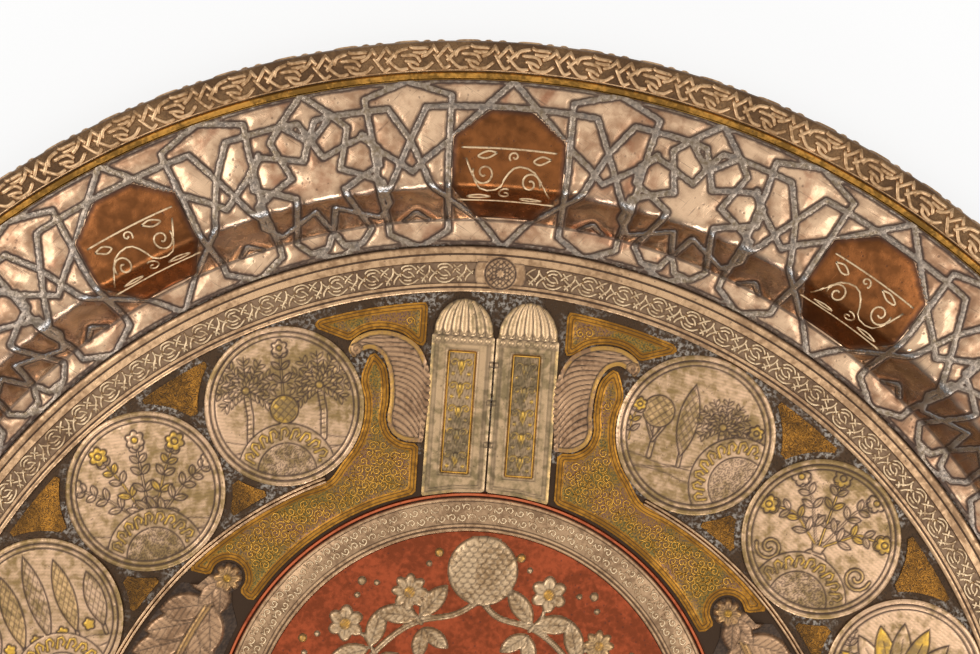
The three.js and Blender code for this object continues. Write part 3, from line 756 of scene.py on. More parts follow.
BEATEN_BRASS = metal("beaten_brass", "#b18a45", "#7d5c2a", "#3a2a18", clouds=18, cover=0.5, dents=55,
                     depth=0.9, bump=0.35, shine=0.3, dull=0.5, extra=dish_zones)
BAND_GROUND = metal("dark_band_ground", "#94724f", "#6d523a", "#3c2c20", clouds=60, cover=0.5, dull=0.6,
                    shine=0.45, curls=(800, 0.2, 0.5), bump=0.3)
BAND_STRANDS = metal("pale_bronze_strands", "#d3ad84", "#a37f5a", "#4a3626", clouds=70, cover=0.42,
                     speckle=0.9, shine=0.3, bump=0.3)
RIM_WIRE = metal("ochre_wire", "#c89145", "#7c5a2a", "#33251a", clouds=60, cover=0.5, speckle=0.9,
                 shine=0.3, dull=0.5, bump=0.3)
STRAP_SILVER = metal("strapwork_silver", "#e6c19d", "#ab8466", "#3d2b22", clouds=30, cover=0.4, speckle=0.7,
                     dents=55, depth=1.1, grain=900, rough=0.12, bump=0.4, shine=0.17, dull=0.34,
                     extra=straps)
PLAQUE_COPPER = metal("plaque_copper", "#8f5831", "#5f3a20", "#33190f", clouds=26, cover=0.5, speckle=0.6,
                      shine=0.2, dull=0.34, dents=45, depth=0.8, rough=0.15, bump=0.35)
INLAY_SILVER = metal("inlay_silver", "#d9bd98", "#a98a69", "#6a5a4e", clouds=90, cover=0.35, speckle=0.9,
                     shine=0.3)
MOULDED_SILVER = metal("moulded_silver", "#cfa982", "#9b7a5b", "#4a3527", clouds=50, cover=0.42,
                       speckle=0.9, shine=0.27, dull=0.45, bump=0.3)
COIN_SILVER = metal("coin_silver", "#dcb591", "#93784f", "#49352a", gilt="#e3b24c", clouds=34, cover=0.47,
                    speckle=0.8, grain=1300, rough=0.4, bump=0.25, shine=0.28, dull=0.42)
PANEL_SILVER = metal("panel_silver", "#ccaa83", "#8a7655", "#3f2e20", gilt="#d2a548", clouds=42, cover=0.43,
                     speckle=0.9, shine=0.26, dull=0.4, bump=0.2)
LEAF_SILVER = metal("leaf_silver", "#be9774", "#937256", "#2f221a", gilt="#b88a38", clouds=70, cover=0.4,
                    speckle=0.8, shine=0.3, bump=0.25)
GOLD_BRASS = metal("golden_brass", "#bd8434", "#875c24", "#33230f", clouds=60, cover=0.5, speckle=0.9,
                   shine=0.28, dull=0.42, bump=0.3, extra=speckled)
GOLD_WIRE = metal("gold_scroll_wire", "#daa54a", "#a87a32", "#4a361d", clouds=120, cover=0.35, shine=0.3)
SPANDREL_GOLD = metal("stippled_gold", "#b07a34", "#6e4e28", "#2a1d13", clouds=60, cover=0.47,
                      curls=(420, 0.14, 0.8), bump=0.5, shine=0.34, dull=0.5)
RED_COPPER = metal("red_copper", "#aa5233", "#7f3f27", "#451f15", clouds=50, cover=0.48, speckle=0.8,
                   shine=0.34, dull=0.5, rough=0.5, bump=0.3)
COPPER_WIRE = metal("copper_wire", "#cc6e48", "#9c5034", "#54281a", clouds=110, cover=0.4, shine=0.3)
WREATH_SILVER = metal("wreath_silver", "#d2b28c", "#a3835f", "#45311f", gilt="#cf9a48", clouds=70,
                      cover=0.42, speckle=0.9, shine=0.3, bump=0.25)

# The body, the bands and the wires

def lifted(radii, lift):
    """Profile points that lie off the upper face of the body."""
    radius, height = section(along_at(np.asarray(radii, float)), lift)
    return list(zip(radius, height))


def above_floor(profile):
    """A profile whose heights are counted from the floor of the well."""
    return [(radius, FLOOR + height) for radius, height in profile]


def make_dish():
    reach, level = section(ALONG[1:-1], -SHEET)
    under = [(0, 0)] + list(zip(reach, np.maximum(level, 0)))
    lip = [(BODY_RADIUS - SHEET / 2, LIP_END[1] - 0.2), (BODY_RADIUS - SHEET, LIP_END[1])]
    floor = [(radius, FLOOR) for radius in range(20, 250, 20)]
    profile = [tuple(SURFACE[0])] + floor + [tuple(point) for point in SURFACE[1:]] + lip + under[::-1]
    finish_piece("beaten_dish", spun(profile, closed=False, sharp=30), BEATEN_BRASS, "dish", "body_brass")


def strand_lines(cell, count, middle, half, lift, steps=5, bow=0.3):
    """Short strands of a plait, repeated round a ring. A cell's points are (share of the cell, across)."""
    lines = []
    pitch = 360 / count
    for index in range(count):
        for strand in cell:
            strand = np.asarray(strand, float)
            share = np.linspace(0, 1, steps * (len(strand) - 1) + 1 if len(strand) > 2 else steps)
            across = smooth_line(strand, share)
            radius = middle + across[:, 1] * half
            rise = lift - 0.35 + bow * np.sin(share * math.pi) ** 0.5
            reach, level = section(along_at(radius), rise)
            spot = place((index + across[:, 0]) * pitch, reach)
            lines.append(np.column_stack([spot, level]))
    return lines


def smooth_line(points, share, knots=None):
    """A smooth curve through points. They lie at the knots, or evenly from 0 to 1."""
    knots = np.linspace(0, 1, len(points)) if knots is None else knots
    slope = np.gradient(points, knots, axis=0)
    step = np.clip(np.searchsorted(knots, share, side="right") - 1, 0, len(knots) - 2)
    span = (knots[step + 1] - knots[step])[:, None]
    t = ((share - knots[step]) / span[:, 0])[:, None]
    start, end = points[step], points[step + 1]
    return ((2 * t ** 3 - 3 * t ** 2 + 1) * start + (t ** 3 - 2 * t ** 2 + t) * span * slope[step]
            + (3 * t ** 2 - 2 * t ** 3) * end + (t ** 3 - t ** 2) * span * slope[step + 1])


RIM_PLAIT = [
    [(0.02, 0.55), (0.06, 0.82), (0.36, 0.86), (0.43, 0.60)],
    [(0.25, 0.78), (0.29, 0.44), (0.57, 0.40)],
    [(0.00, -0.10), (0.06, 0.28), (0.24, 0.44)],
    [(0.10, 0.06), (0.34, 0.00), (0.43, -0.42)],
    [(0.44, -0.10), (0.55, 0.08), (0.64, 0.40)],
    [(0.22, -0.38), (0.30, -0.78), (0.50, -0.82), (0.64, -0.42)],
    [(-0.16, 0.06), (-0.02, -0.54), (0.08, -0.82), (0.22, -0.78)],
    [(0.47, 0.70), (0.54, 0.88), (0.60, 0.72), (0.72, 0.10)],
    [(0.70, 0.70), (0.76, 0.88), (0.83, 0.72), (0.96, 0.12)],
    [(0.70, -0.22), (0.78, 0.12), (0.87, 0.48)],
    [(0.65, 0.10), (0.78, -0.70), (0.84, -0.84), (0.92, -0.66)],
    [(0.86, -0.40), (0.94, -0.08), (1.02, 0.26)],
    [(0.30, 0.20), (0.44, 0.16), (0.54, 0.22)],
    [(0.16, -0.30), (0.30, -0.40), (0.40, -0.62)],
]
INNER_PLAIT = [
    [(-0.04, -0.30), (0.05, 0.40), (0.05, 0.98)],
    [(0.06, 0.62), (0.14, 0.20), (0.26, -0.10)],
    [(0.26, 0.60), (0.36, 0.98), (0.56, 0.98), (0.70, 0.46)],
    [(0.30, 0.34), (0.42, 0.66), (0.58, 0.62)],
    [(0.26, 0.22), (0.40, -0.26), (0.58, -0.22)],
    [(0.44, 0.34), (0.54, 0.16), (0.62, -0.36)],
    [(0.18, -0.30), (0.32, -0.94), (0.56, -0.94), (0.74, -0.48)],
    [(0.02, -0.94), (0.08, -0.40), (0.28, 0.36)],
    [(0.30, -0.52), (0.44, -0.62), (0.54, -0.56)],
    [(0.70, 0.96), (0.80, 0.52), (0.88, 0.24)],
    [(0.66, 0.00), (0.82, 0.62), (0.96, 0.98)],
    [(0.76, 0.26), (0.88, -0.10), (1.00, -0.44)],
    [(0.80, -0.94), (0.90, -0.40), (1.06, 0.22)],
    [(0.78, -0.36), (0.88, -0.62), (0.92, -0.96)],
]
RIM_CELLS = 84
RIM_PLAIT_MIDDLE = 318.5
RIM_PLAIT_HALF = 6.2
INNER_CELLS = 100
INNER_PLAIT_MIDDLE = 234.1
INNER_PLAIT_HALF = 3.7
BOSS_TURNS = (0, 90, 180, 270)


def make_rim_band():
    node, slot = "rim_interlace_band", "bronze_silver"
    top = lifted(np.linspace(BAND_INNER, LIP_START[0] - 0.6, 8), BAND_SHEET)
    edge = [(LIP_START[0] + 0.6, RIM_TOP + 0.7), (PLATE_RADIUS - 1.2, RIM_TOP),
            (PLATE_RADIUS - 0.3, RIM_TOP - 1.6), (PLATE_RADIUS - 0.15, RIM_TOP - 3.4),
            (BODY_RADIUS - 0.3, RIM_TOP - 3.4), (BODY_RADIUS - 0.6, RIM_TOP - 1)]
    under = [(LIP_START[0], RIM_TOP - 0.2), (BAND_INNER, RIM_TOP - 0.2)]
    finish_piece("rim_band_ground", spun(top + edge + under), BAND_GROUND, node, slot)
    lines = strand_lines(RIM_PLAIT, RIM_CELLS, RIM_PLAIT_MIDDLE, RIM_PLAIT_HALF, BAND_SHEET)
    strands = swept(lines, 1.75, 0.7, shoulder=0.2, sunk=0.5)
    finish_piece("rim_plait_strands", strands, BAND_STRANDS, node, slot)
    reach, level = section(np.full(RING_STEPS, along_at(BAND_INNER + 0.5)), BAND_SHEET - 0.1)
    line = np.column_stack([place(np.linspace(0, 360, RING_STEPS, endpoint=False), reach), level])
    bead = swept([line], 0.6, 0.45, closed=True, shoulder=0.2, sunk=0.2)
    finish_piece("rim_band_bead", bead, BAND_STRANDS, node, slot)
    wire = [(309.1, RIM_TOP - 0.1), (311.9, RIM_TOP - 0.1), (311.75, RIM_TOP + 0.9), (311.1, RIM_TOP + 1.5),
            (310.2, RIM_TOP + 1.5), (309.3, RIM_TOP + 0.9)]
    finish_piece("rim_gold_wire", spun(wire), RIM_WIRE, "rim_wire", "gold_brass")


def darken_mouldings(mesh, centre, joints, reach, dark, channel, channel_dark):
    """Darkens the joints of a moulded ring, and the channel between two radii."""
    radius = np.hypot(*(coordinates(mesh)[:, :2] / MM - centre).T)
    lines = sum((np.abs(radius - joint) < reach) * dark for joint in joints)
    in_channel = (radius > channel[0]) & (radius < channel[1])
    set_mask(mesh, "dark", np.maximum(lines, in_channel * channel_dark))


def make_inner_band():
    profile = [(226.4, -0.05), (226.4, 0.9), (226.8, 1.25), (227.3, 1.4), (227.8, 1.25), (228.05, 0.85),
               (228.45, 0.85), (228.7, 1.2), (229.7, 1.25), (229.95, 0.75), (230.3, 0.75), (238.0, 0.75),
               (238.35, 0.75), (238.6, 1.25), (241.2, 1.25), (241.4, 0.8), (241.8, 0.8), (242.1, 1.2),
               (243.1, 1.5), (244.2, 1.4), (244.9, 0.95), (245.3, -0.05)]
    mesh = spun(above_floor(profile))
    darken_mouldings(mesh, 0, (228.25, 230.05, 238.25, 241.6, 245.1), 0.22, 0.95, (229.9, 238.4), 0.7)
    finish_piece("inner_band_mouldings", mesh, MOULDED_SILVER, "inner_interlace_band", "silver")
    bosses = place(BOSS_TURNS, INNER_PLAIT_MIDDLE)
    lines = strand_lines(INNER_PLAIT, INNER_CELLS, INNER_PLAIT_MIDDLE, INNER_PLAIT_HALF, 1.0, steps=3,
                         bow=0.25)
    lines = [line for line in lines if distance(bosses, line.mean(0)).min() > 12]
    strands = swept(lines, 0.98, 0.38, shoulder=0.17, sunk=0.3)
    finish_piece("inner_plait_strands", strands, INLAY_SILVER, "inner_interlace_band", "bronze_silver")


def circle(radius, steps=120, centre=(0, 0)):
    return np.array(centre) + radius * direction(np.linspace(0, 360, steps, endpoint=False))


def make_bosses():
    def disc(relief):
        relief.height += 0.5 * np.clip((6.9 - distance(relief.points, (0, 0))) / 0.8, 0, 1)
        relief.engrave(circle(6.2, 60), 0.8)
        for turn in (45, -45):
            relief.hatch(knob((0, 0), 5.6), turn, 1.7, 0.55, 1.0)
        for spot in circle(3.0, 6):
            relief.swell(knob(spot, 0.8), 0.3, 0.6)
        relief.swell(blossom(np.zeros(2), 2.0, 8), 0.4, 0.9)

    def plate(relief):
        relief.dark = 0.9 * np.clip(1 - edge_distance(relief.points, pad) / 0.5, 0, 1)
    pad = circle(10.6, 72)
    pad[:, 1] = np.clip(pad[:, 1], -4.6, 4.7)
    for index, turn in enumerate(BOSS_TURNS):
        number = f"{index + 1:02d}"
        mesh = relief_sheet(pad, 0.5, plate, on_floor(turn, INNER_PLAIT_MIDDLE, FLOOR + 1.3), 0.5)
        finish_piece(f"band_pad_{number}_plate", mesh, MOULDED_SILVER, "inner_interlace_band", "silver")
        mesh = relief_sheet(circle(7, 64), 0.36, disc, on_floor(turn, INNER_PLAIT_MIDDLE, FLOOR + 1.9), 1.2)
        finish_piece(f"band_boss_{number}_disc", mesh, MOULDED_SILVER, f"band_boss_{number}", "silver")


# The silver sheet with the strapwork. Its drawing repeats in half sectors of 15 degrees, from the axis
# of a plaque to the axis of a star. Its points are (degrees from the plaque's axis, radius).

HALF_SECTOR = 15
STRAP_SPHERE = 6  # how far a strap's distance is worked out
STRAPWORK_ROWS = 84
STRAPWORK_STEPS = 540  # round each quarter
STRAP_HALF = 1.5
STRAP_RISE = 0.75
TILE_EDGE = 2.4  # width of the rounded edge of a tile
TILE_REACH = 8  # distance from a strap at which a tile is highest
SHIELD_AXIS = 7.5
STAR_CENTRE = 273.8
SHIELD = [(7.5, 308.6), (10.6, 303), (10.4, 290), (10.3, 275), (10.1, 251), (7.5, 244.8), (4.9, 251.5),
          (4.7, 275), (4.5, 290), (4.35, 302.7), (7.5, 308.6)]
STRAP_LINES = [
    SHIELD,
    [(-6.1, 298.4), (6.1, 298.4)],
    [(9.0, 298.4), (13.1, 298.4)],
    [(9.0, 298.4), (7.5, 285.6), (6.15, 269), (0, 244.6)],
    [(6.2, 298.4), (7.5, 285.6), (8.4, 277), (9, 271.3), (9.95, 266.3)],
    [(0, 308.6), (4.4, 285.6), (6.5, 277.7), (7.5, 273.4), (10.4, 284.5), (11.06, 289.9)],
    [(15, 308.6), (13.1, 298.8), (15, 289.5)],
    [(15, 244.6), (12.6, 249.6)],
    [(6.7, 256.6), (7.6, 259.5), (8.6, 256.6)],
]
PLAQUE_CORNERS = [(7.9, 296.9), (21, 285.9), (20.6, 266.8), (11, 257)]


def star_lines():
    """Straps of the eight-pointed star: crossings, dents, corners and tips, even as seen from above."""
    lines = []
    for index in range(8):
        petal = 22.5 + 45 * index
        sides = [(petal - 22.5, 17.6), (petal, 10), (petal + 22.5, 17.6)]
        corners = [(petal - 15, 24.4), (petal, 26.6), (petal + 15, 24.4)]
        for points in (sides, corners, [(petal - 22.5, 17.6), (petal - 15, 24.4)],
                       [(petal + 22.5, 17.6), (petal + 15, 24.4)]):
            spots = []
            for turn, radius in points:
                across, up = direction(turn) * radius
                reach = STAR_CENTRE + up
                spots.append((HALF_SECTOR + math.degrees(across / reach), along_at(reach)))
            lines.append(spots)
    return lines


def strap_map(turn, along):
    """Plane coordinates of a half sector, in millimetres."""
    around = np.interp(along, ALONG, SURFACE[:, 0])
    return np.stack([np.radians(np.asarray(turn) - SHIELD_AXIS) * around, along], -1)


def strap_segments():
    lines = [[(turn, along_at(radius)) for turn, radius in line] for line in STRAP_LINES] + star_lines()
    segments = []
    for line in lines:
        line = np.array(line, float)
        for mirror in (None, 0, HALF_SECTOR):
            copy = line.copy()
            if mirror is not None:
                copy[:, 0] = 2 * mirror - copy[:, 0]
            points = strap_map(copy[:, 0], copy[:, 1])
            segments += [(start, end) for start, end in zip(points[:-1], points[1:])
                         if min(start[0], end[0]) < 45 and max(start[0], end[0]) > -45]
    return segments


def strap_distance(folded, along):
    """Distance from the middle of the nearest strap, in a half sector."""
    points = strap_map(folded, along)
    best = np.full(len(points), 1e3)
    for start, end in strap_segments():
        low, high = np.minimum(start, end) - STRAP_SPHERE, np.maximum(start, end) + STRAP_SPHERE
        at = np.nonzero(((points > low) & (points < high)).all(1))[0]
        best[at] = np.minimum(best[at], np.hypot(*(points[at] - segment_spot(points[at], start, end)).T))
    outer, inner = along_at(SHEET_OUTER) - 0.6, along_at(SHEET_INNER) + 0.6
    edges = np.minimum(np.abs(along - outer), np.abs(along - inner))
    return np.minimum(best, edges + 0.6)


def plaque_outline():
    """Corners of a plaque as (distance round the plate, length along the face)."""
    x, y = np.transpose(PLAQUE_CORNERS)
    radius = np.hypot(x, y)
    right = np.column_stack([np.arctan2(x, y) * radius, along_at(radius)])
    return np.vstack([right, right[::-1] * (-1, 1)])


def make_strapwork():
    inner, outer, foot = (along_at(radius) for radius in (SHEET_INNER, SHEET_OUTER, WALL_FOOT))
    shares = np.linspace(0, 1, STRAPWORK_ROWS)
    over = np.interp(shares, (0, 0.09, 0.24, 1), (inner, foot - 3, foot + 3, outer))
    bends = ALONG[(ALONG > inner) & (ALONG < outer)][::2]
    under = np.concatenate([[outer], bends[::-1], [inner]])
    profile = np.array([(along, 1) for along in over] + [(along, -1) for along in under] + [(inner, 1)])
    window = plaque_outline()
    for index in range(4):
        bm = bmesh.new()
        bmesh.ops.create_grid(bm, x_segments=STRAPWORK_STEPS, y_segments=len(profile) - 1, size=0.5)
        for vert in bm.verts:
            along, side = profile[round((vert.co.y + 0.5) * (len(profile) - 1))]
            turn = math.radians(90 * (index + vert.co.x + 0.5))
            vert.co = (along * MM * math.sin(turn), along * MM * math.cos(turn), side * MM)
        bmesh.ops.remove_doubles(bm, verts=bm.verts, dist=1e-6)
        bmesh.ops.holes_fill(bm, edges=[edge for edge in bm.edges if edge.is_boundary], sides=0)
        mesh = closed_mesh(bm, sharp=50)
        points = coordinates(mesh) / MM
        along = np.hypot(points[:, 0], points[:, 1])
        turn = np.degrees(np.arctan2(points[:, 0], points[:, 1]))
        folded = np.abs((turn + HALF_SECTOR) % (2 * HALF_SECTOR) - HALF_SECTOR)
        gap = strap_distance(folded, along)
        inwards = gap - STRAP_HALF
        height = 0.55 + 0.4 * cushion(inwards / TILE_EDGE) + 0.55 * cushion(inwards / TILE_REACH) ** 2
        height += np.clip((STRAP_HALF - 0.05 - gap) / 0.5, 0, 1) * STRAP_RISE
        height += np.random.default_rng(index).normal(0, 0.012, len(height))
        around = np.radians(folded) * np.interp(along, ALONG, SURFACE[:, 0])
        in_window = within(np.column_stack([around, along]), window)
        height = np.where(in_window, 0.25, height)
        radius, level = section(along, np.where(points[:, 2] > 0, height, -0.05))
        set_coordinates(mesh, np.column_stack([place(laid(turn), radius), level]) * MM)
        set_mask(mesh, "strap", np.where(in_window, 5, gap))
        finish_piece(f"strapwork_sheet_{index + 1}", mesh, STRAP_SILVER, "silver_strapwork", "silver")


PLAQUE_LIFT = 1.25


def plaque_scroll(variant):
    """Lines let into a plaque, as (u, v) from its middle: two ruled lines, a stem, scrolls and leaves."""
    lines = [
        [(-18, 10.6), (18, 10.6)],
        [(-18.5, -12.2), (18.5, -12.2)],
        [(-16.5, -7.5), (-14, -3), (-9.5, 2.5), (-3.5, 3.8), (0.5, 0), (3.5, -4.8), (9.5, -5.2),
         (13.5, 0.5), (16, 6.5)],
        spiral((-8.6, -1.9), 4.0, 1.4, 250, 1, 24),
        spiral((8.9, 0.9), 4.4, 1.4, 70, 1, 24),
        spiral((0.6, -7.2), 2.9, 1.2, 330, 1, 20),
        spiral((-2.2, 7.6), 2.2, 1.1, 140, -1, 18),
        [(-16, 7.8), (-12.5, 8.6), (-9.5, 6.4), (-12, 5.4), (-16, 7.8)],
        [(4.4, 8.8), (8, 9.4), (11.6, 7.2), (8, 6.6), (4.4, 8.8)],
        [(-13.6, -10), (-9, -9.2), (-5.2, -10), (-9, -10.8), (-13.6, -10)],
        [(6, -9.4), (10.4, -8.4), (15, -9.8), (10.4, -10.4), (6, -9.4)],
    ]
    return [np.array(line) * (1 if variant % 2 else -1, 1) for line in lines]


def make_plaques():
    outline = plaque_outline()
    centre = (outline[:, 1].min() + outline[:, 1].max()) / 2

    def design(relief):
        edge = edge_distance(relief.points, outline)
        relief.round_edge(edge, 0.45, 1.4)
        relief.dark = 0.75 * np.clip(1 - edge / 0.7, 0, 1)
    for index in range(PLAQUES):
        name = f"copper_plaque_{index + 1:02d}"
        lay = on_wall(index * 360 / PLAQUES, PLAQUE_LIFT)
        mesh = relief_sheet(outline, 1.0, design, lay, 1.0, curved=True)
        finish_piece(name + "_sheet", mesh, PLAQUE_COPPER, name, "copper")
        lines = []
        for line in plaque_scroll(index):
            line = smooth_line(line, np.linspace(0, 1, max(len(line), 18)))
            lines.append(lay(line[:, 0], line[:, 1] + centre, np.full(len(line), -0.05)))
        finish_piece(name + "_inlay", swept(lines, 0.95, 0.2, shoulder=0.15), INLAY_SILVER, name, "silver")


# Flat pieces on the floor of the well. Their outlines come from the solids.

def outline_of(node):
    """Outline of a flat node in millimetres, from its underside."""
    bm = bmesh.new()
    bm.from_mesh(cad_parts[node].data)
    bmesh.ops.remove_doubles(bm, verts=bm.verts, dist=1e-6)
    lowest = min(vert.co.z for vert in bm.verts) + 1e-5
    under = {face for face in bm.faces if all(vert.co.z < lowest for vert in face.verts)}
    ahead = {}
    for face in under:
        for loop in face.loops:
            if not any(other in under for other in loop.edge.link_faces if other is not face):
                ahead[loop.vert] = loop.link_loop_next.vert
    loops = []
    while ahead:
        start, _ = next(iter(ahead.items()))
        loop = [start]
        while (step := ahead.pop(loop[-1])) is not start:
            loop.append(step)
        loops.append(np.array([vert.co[:2] for vert in loop]) / MM)
    bm.free()
    return max(loops, key=lambda points: np.ptp(points, axis=0).prod())


def eased(outline, steps=5, sharp=38):
    """The same outline with its runs of short facets drawn as curves. Corners over so many degrees stay."""
    ahead = np.roll(outline, -1, axis=0) - outline
    bearing = np.degrees(np.arctan2(ahead[:, 0], ahead[:, 1]))
    bend = np.abs((bearing - np.roll(bearing, 1) + 180) % 360 - 180)
    corners = np.nonzero(bend > sharp)[0]
    if len(corners) == 0:
        corners = np.array([0])
    runs = []
    for start, end in zip(corners, np.append(corners[1:], corners[0] + len(outline))):
        run = outline[np.arange(start, end + 1) % len(outline)]
        knots = np.concatenate([[0], np.cumsum(np.hypot(*np.diff(run, axis=0).T))])
        parts = [np.linspace(low, high, steps, endpoint=False) for low, high in zip(knots[:-1], knots[1:])]
        runs.append(smooth_line(run, np.concatenate(parts), knots) if len(run) > 2 else run[:1])
    return np.vstack(runs)


def grown(outline, margin):
    """The same outline moved outwards by a margin."""
    ahead = np.roll(outline, -1, axis=0) - outline
    ahead /= np.maximum(np.hypot(*ahead.T), 1e-9)[:, None]
    outwards = np.column_stack([ahead[:, 1], -ahead[:, 0]])
    outwards += np.roll(outwards, 1, axis=0)
    outwards /= np.maximum(np.hypot(*outwards.T), 1e-9)[:, None]
    x, y = outline.T
    hand = np.sign(np.sum(x * np.roll(y, -1) - y * np.roll(x, -1)))
    return outline + outwards * hand * margin


SIDES = ((1, "right"), (-1, "left"))
BED_DEPTH = 0.35  # the pieces reach down into the ground of the floor
ROUNDEL = np.array([0, (box_mm("roundel_disc")[0][1] + box_mm("roundel_disc")[1][1]) / 2])


def floor_piece(node, outline, step, design, top, material, slot="silver"):
    """A sheet on the floor, drawn in the plate's own plane."""
    mesh = relief_sheet(outline, step, design, on_floor(lift=top), top - FLOOR + BED_DEPTH)
    finish_piece(node + "_sheet", mesh, material, node, slot)


# Brass panels: a plain border with two lines, and fine scrolls of wire on a punched ground

BRASS_TOP = FLOOR + 1.2
SCROLL_PITCH = 3.7
SCROLL_INSET = 4.9  # from the panel's outline


def scroll_lines(outline, seed):
    """Small scrolls that fill an outline, with a stem from each to the next."""
    rng = np.random.default_rng(seed)
    low, high = outline.min(0), outline.max(0)
    rows = np.arange(low[1], high[1], SCROLL_PITCH * 0.866)
    spots = np.array([(x + (row % 2) * SCROLL_PITCH / 2, y) for row, y in enumerate(rows)
                      for x in np.arange(low[0], high[0], SCROLL_PITCH)])
    spots += rng.uniform(-0.5, 0.5, spots.shape)
    _, _, inside = polygon(outline)
    spots = spots[inside(spots) > SCROLL_INSET]
    lines = []
    for index, spot in enumerate(spots):
        hand = 1 if index % 2 else -1
        start = rng.uniform(0, 360)
        curl = spiral(spot, 1.85, 1.2, start, hand, 10)
        tail = spot + direction(start - hand * 60) * 2.8
        lines.append(np.vstack([[tail], curl]))
        bud = spot + direction(start + 150) * 2.2
        lines.append(np.array([bud + direction(start + 60) * 0.9, bud, bud + direction(start + 200) * 0.8]))
    return [np.column_stack([line, np.full(len(line), BRASS_TOP - 0.3)]) for line in lines]


def brass_panel(node, seed):
    outline = grown(eased(outline_of(node)), 0.8)

    def design(relief):
        edge = edge_distance(relief.points, outline)
        relief.masks["edge"] = edge
        relief.height -= 0.45 * np.clip((edge - 2.7) / 0.7, 0, 1)
        relief.round_edge(edge, 0.3, 1.0)
    floor_piece(node, outline, 1.0, design, BRASS_TOP, GOLD_BRASS, "gold_brass")
    scrolls = swept(scroll_lines(outline, seed), 0.5, 0.32, shoulder=0.2, sunk=0.25)
    finish_piece(node + "_scrolls", scrolls, GOLD_WIRE, node, "gold_brass")


def make_brass_panels():
    for seed, node in enumerate(("corner_panel_right", "corner_panel_left", "long_panel_right",
                                 "long_panel_left", "lower_panel_right", "lower_panel_left",
                                 "lower_spandrel")):
        brass_panel(node, seed)


# Ornament for the silver pieces

def along_line(line, spot, knots=None):
    """Points of a line at spots counted in its points, or at their places among knots."""
    knots = range(len(line)) if knots is None else knots
    return np.stack([np.interp(spot, knots, line[:, axis]) for axis in (0, 1)], -1)


def sprig(relief, line, size, gilt=0.0, pairs=4):
    """A stem with paired leaves along it and a blossom at its end."""
    line = np.asarray(line, float)
    share = np.linspace(0, len(line) - 1, 12)
    stem = along_line(line, share)
    relief.swell(stroke(stem, size * 0.28), 0.35, 0.5, gilt=gilt, outline=0.35)
    for pair in range(pairs):
        spot = 1 + (pair + 0.5) * (len(stem) - 3) / pairs
        root = along_line(stem, spot)
        ahead = along_line(stem, spot + 0.5) - root
        turn = bearing(ahead)
        for side in (-1, 1):
            tip = root + direction(turn + side * 48) * size * (2.0 - 0.2 * pair)
            relief.swell(leaf(root, tip, size * 0.42), 0.45, 0.9, gilt=gilt * (pair % 2))
            relief.engrave([root, root + (tip - root) * 0.8], 0.3, 0.08)
    relief.swell(blossom(stem[-1], size * 1.25, 6), 0.55, 1.2, gilt=gilt)
    relief.swell(knob(stem[-1], size * 0.42), 0.75, 0.6, gilt=1.0)


def tree(relief, root, height, crown, gilt=0.0):
    """A tree with a round, latticed crown."""
    root = np.array(root, float)
    top = root + (0, height)
    relief.swell(stroke([root, root + (0.4, height * 0.5), top], 1.5), 0.35, 0.6)
    for side in (-1, 1):
        branch = [root + (0, height * 0.35), root + (side * crown * 0.55, height * 0.72)]
        relief.swell(stroke(branch, 0.9), 0.3, 0.5)
    relief.swell(knob(top, crown), 0.6, 2.2, gilt=gilt)
    for turn in (45, -45):
        relief.hatch(knob(top, crown - 0.5), turn, 1.8, 0.32, 0.85)


def palm(relief, root, height, size, gilt=0.0):
    root = np.array(root, float)
    top = root + (0, height)
    relief.swell(stroke([root, root + (0.8, height * 0.5), top], 2.0), 0.4, 0.8)
    for row in np.arange(1.2, height, 1.5):
        relief.engrave([root + (-0.9, row), root + (0.9, row + 0.4)], 0.35)
    for turn in range(-128, 129, 32):
        out, bent = direction(turn * 0.8) * size * 0.5, direction(turn * 1.15) * size * 0.5
        spine = [top + out * share + bent * share ** 2 for share in np.linspace(0.1, 1, 6)]
        for start, end in zip(spine[:-1], spine[1:]):
            for hand in (-1, 1):
                aim = bearing(end - start) + hand * 42
                blade = leaf(start, start + direction(aim) * size * 0.27, size * 0.055)
                relief.swell(blade, 0.4, 0.6, gilt=gilt, outline=0.4)
        relief.engrave(spine, 0.4, 0.1)
    relief.swell(knob(top, 1.3), 0.7, 0.8, gilt=1.0)


def cypress(relief, root, height, half, gilt=0.0):
    root = np.array(root, float)
    relief.swell(stroke([root, root + (0, height * 0.2)], 1.2), 0.3, 0.5)
    relief.swell(leaf(root + (0, height * 0.12), root + (0, height), half), 0.6, 1.6, gilt=gilt)
    for turn in (60, -60):
        crown = leaf(root + (0, height * 0.14), root + (0, height * 0.97), half * 0.85)
        relief.hatch(crown, turn, 1.6, 0.32, 0.8)


def vase(relief, foot, size, gilt=0.0):
    foot = np.array(foot, float)
    base = foot + np.array([(-1.1, 0), (1.1, 0), (0.5, 0.7), (-0.5, 0.7)]) * size
    relief.swell(polygon(base), 0.4, 0.6, gilt=gilt)
    relief.swell(knob(foot + (0, 1.9 * size), 1.35 * size), 0.6, 1.6, gilt=gilt)
    neck = foot + np.array([(-0.45, 2.9), (0.45, 2.9), (0.85, 4.1), (-0.85, 4.1)]) * size
    relief.swell(polygon(neck), 0.5, 0.6, gilt=gilt)
    for level in (2.1 * size, 1.6 * size):
        relief.engrave([foot + (-1.3 * size, level), foot + (1.3 * size, level)], 0.35)
    relief.hatch(knob(foot + (0, 1.9 * size), 0.8 * size), 0, 1.1, 0.3, 0.8)


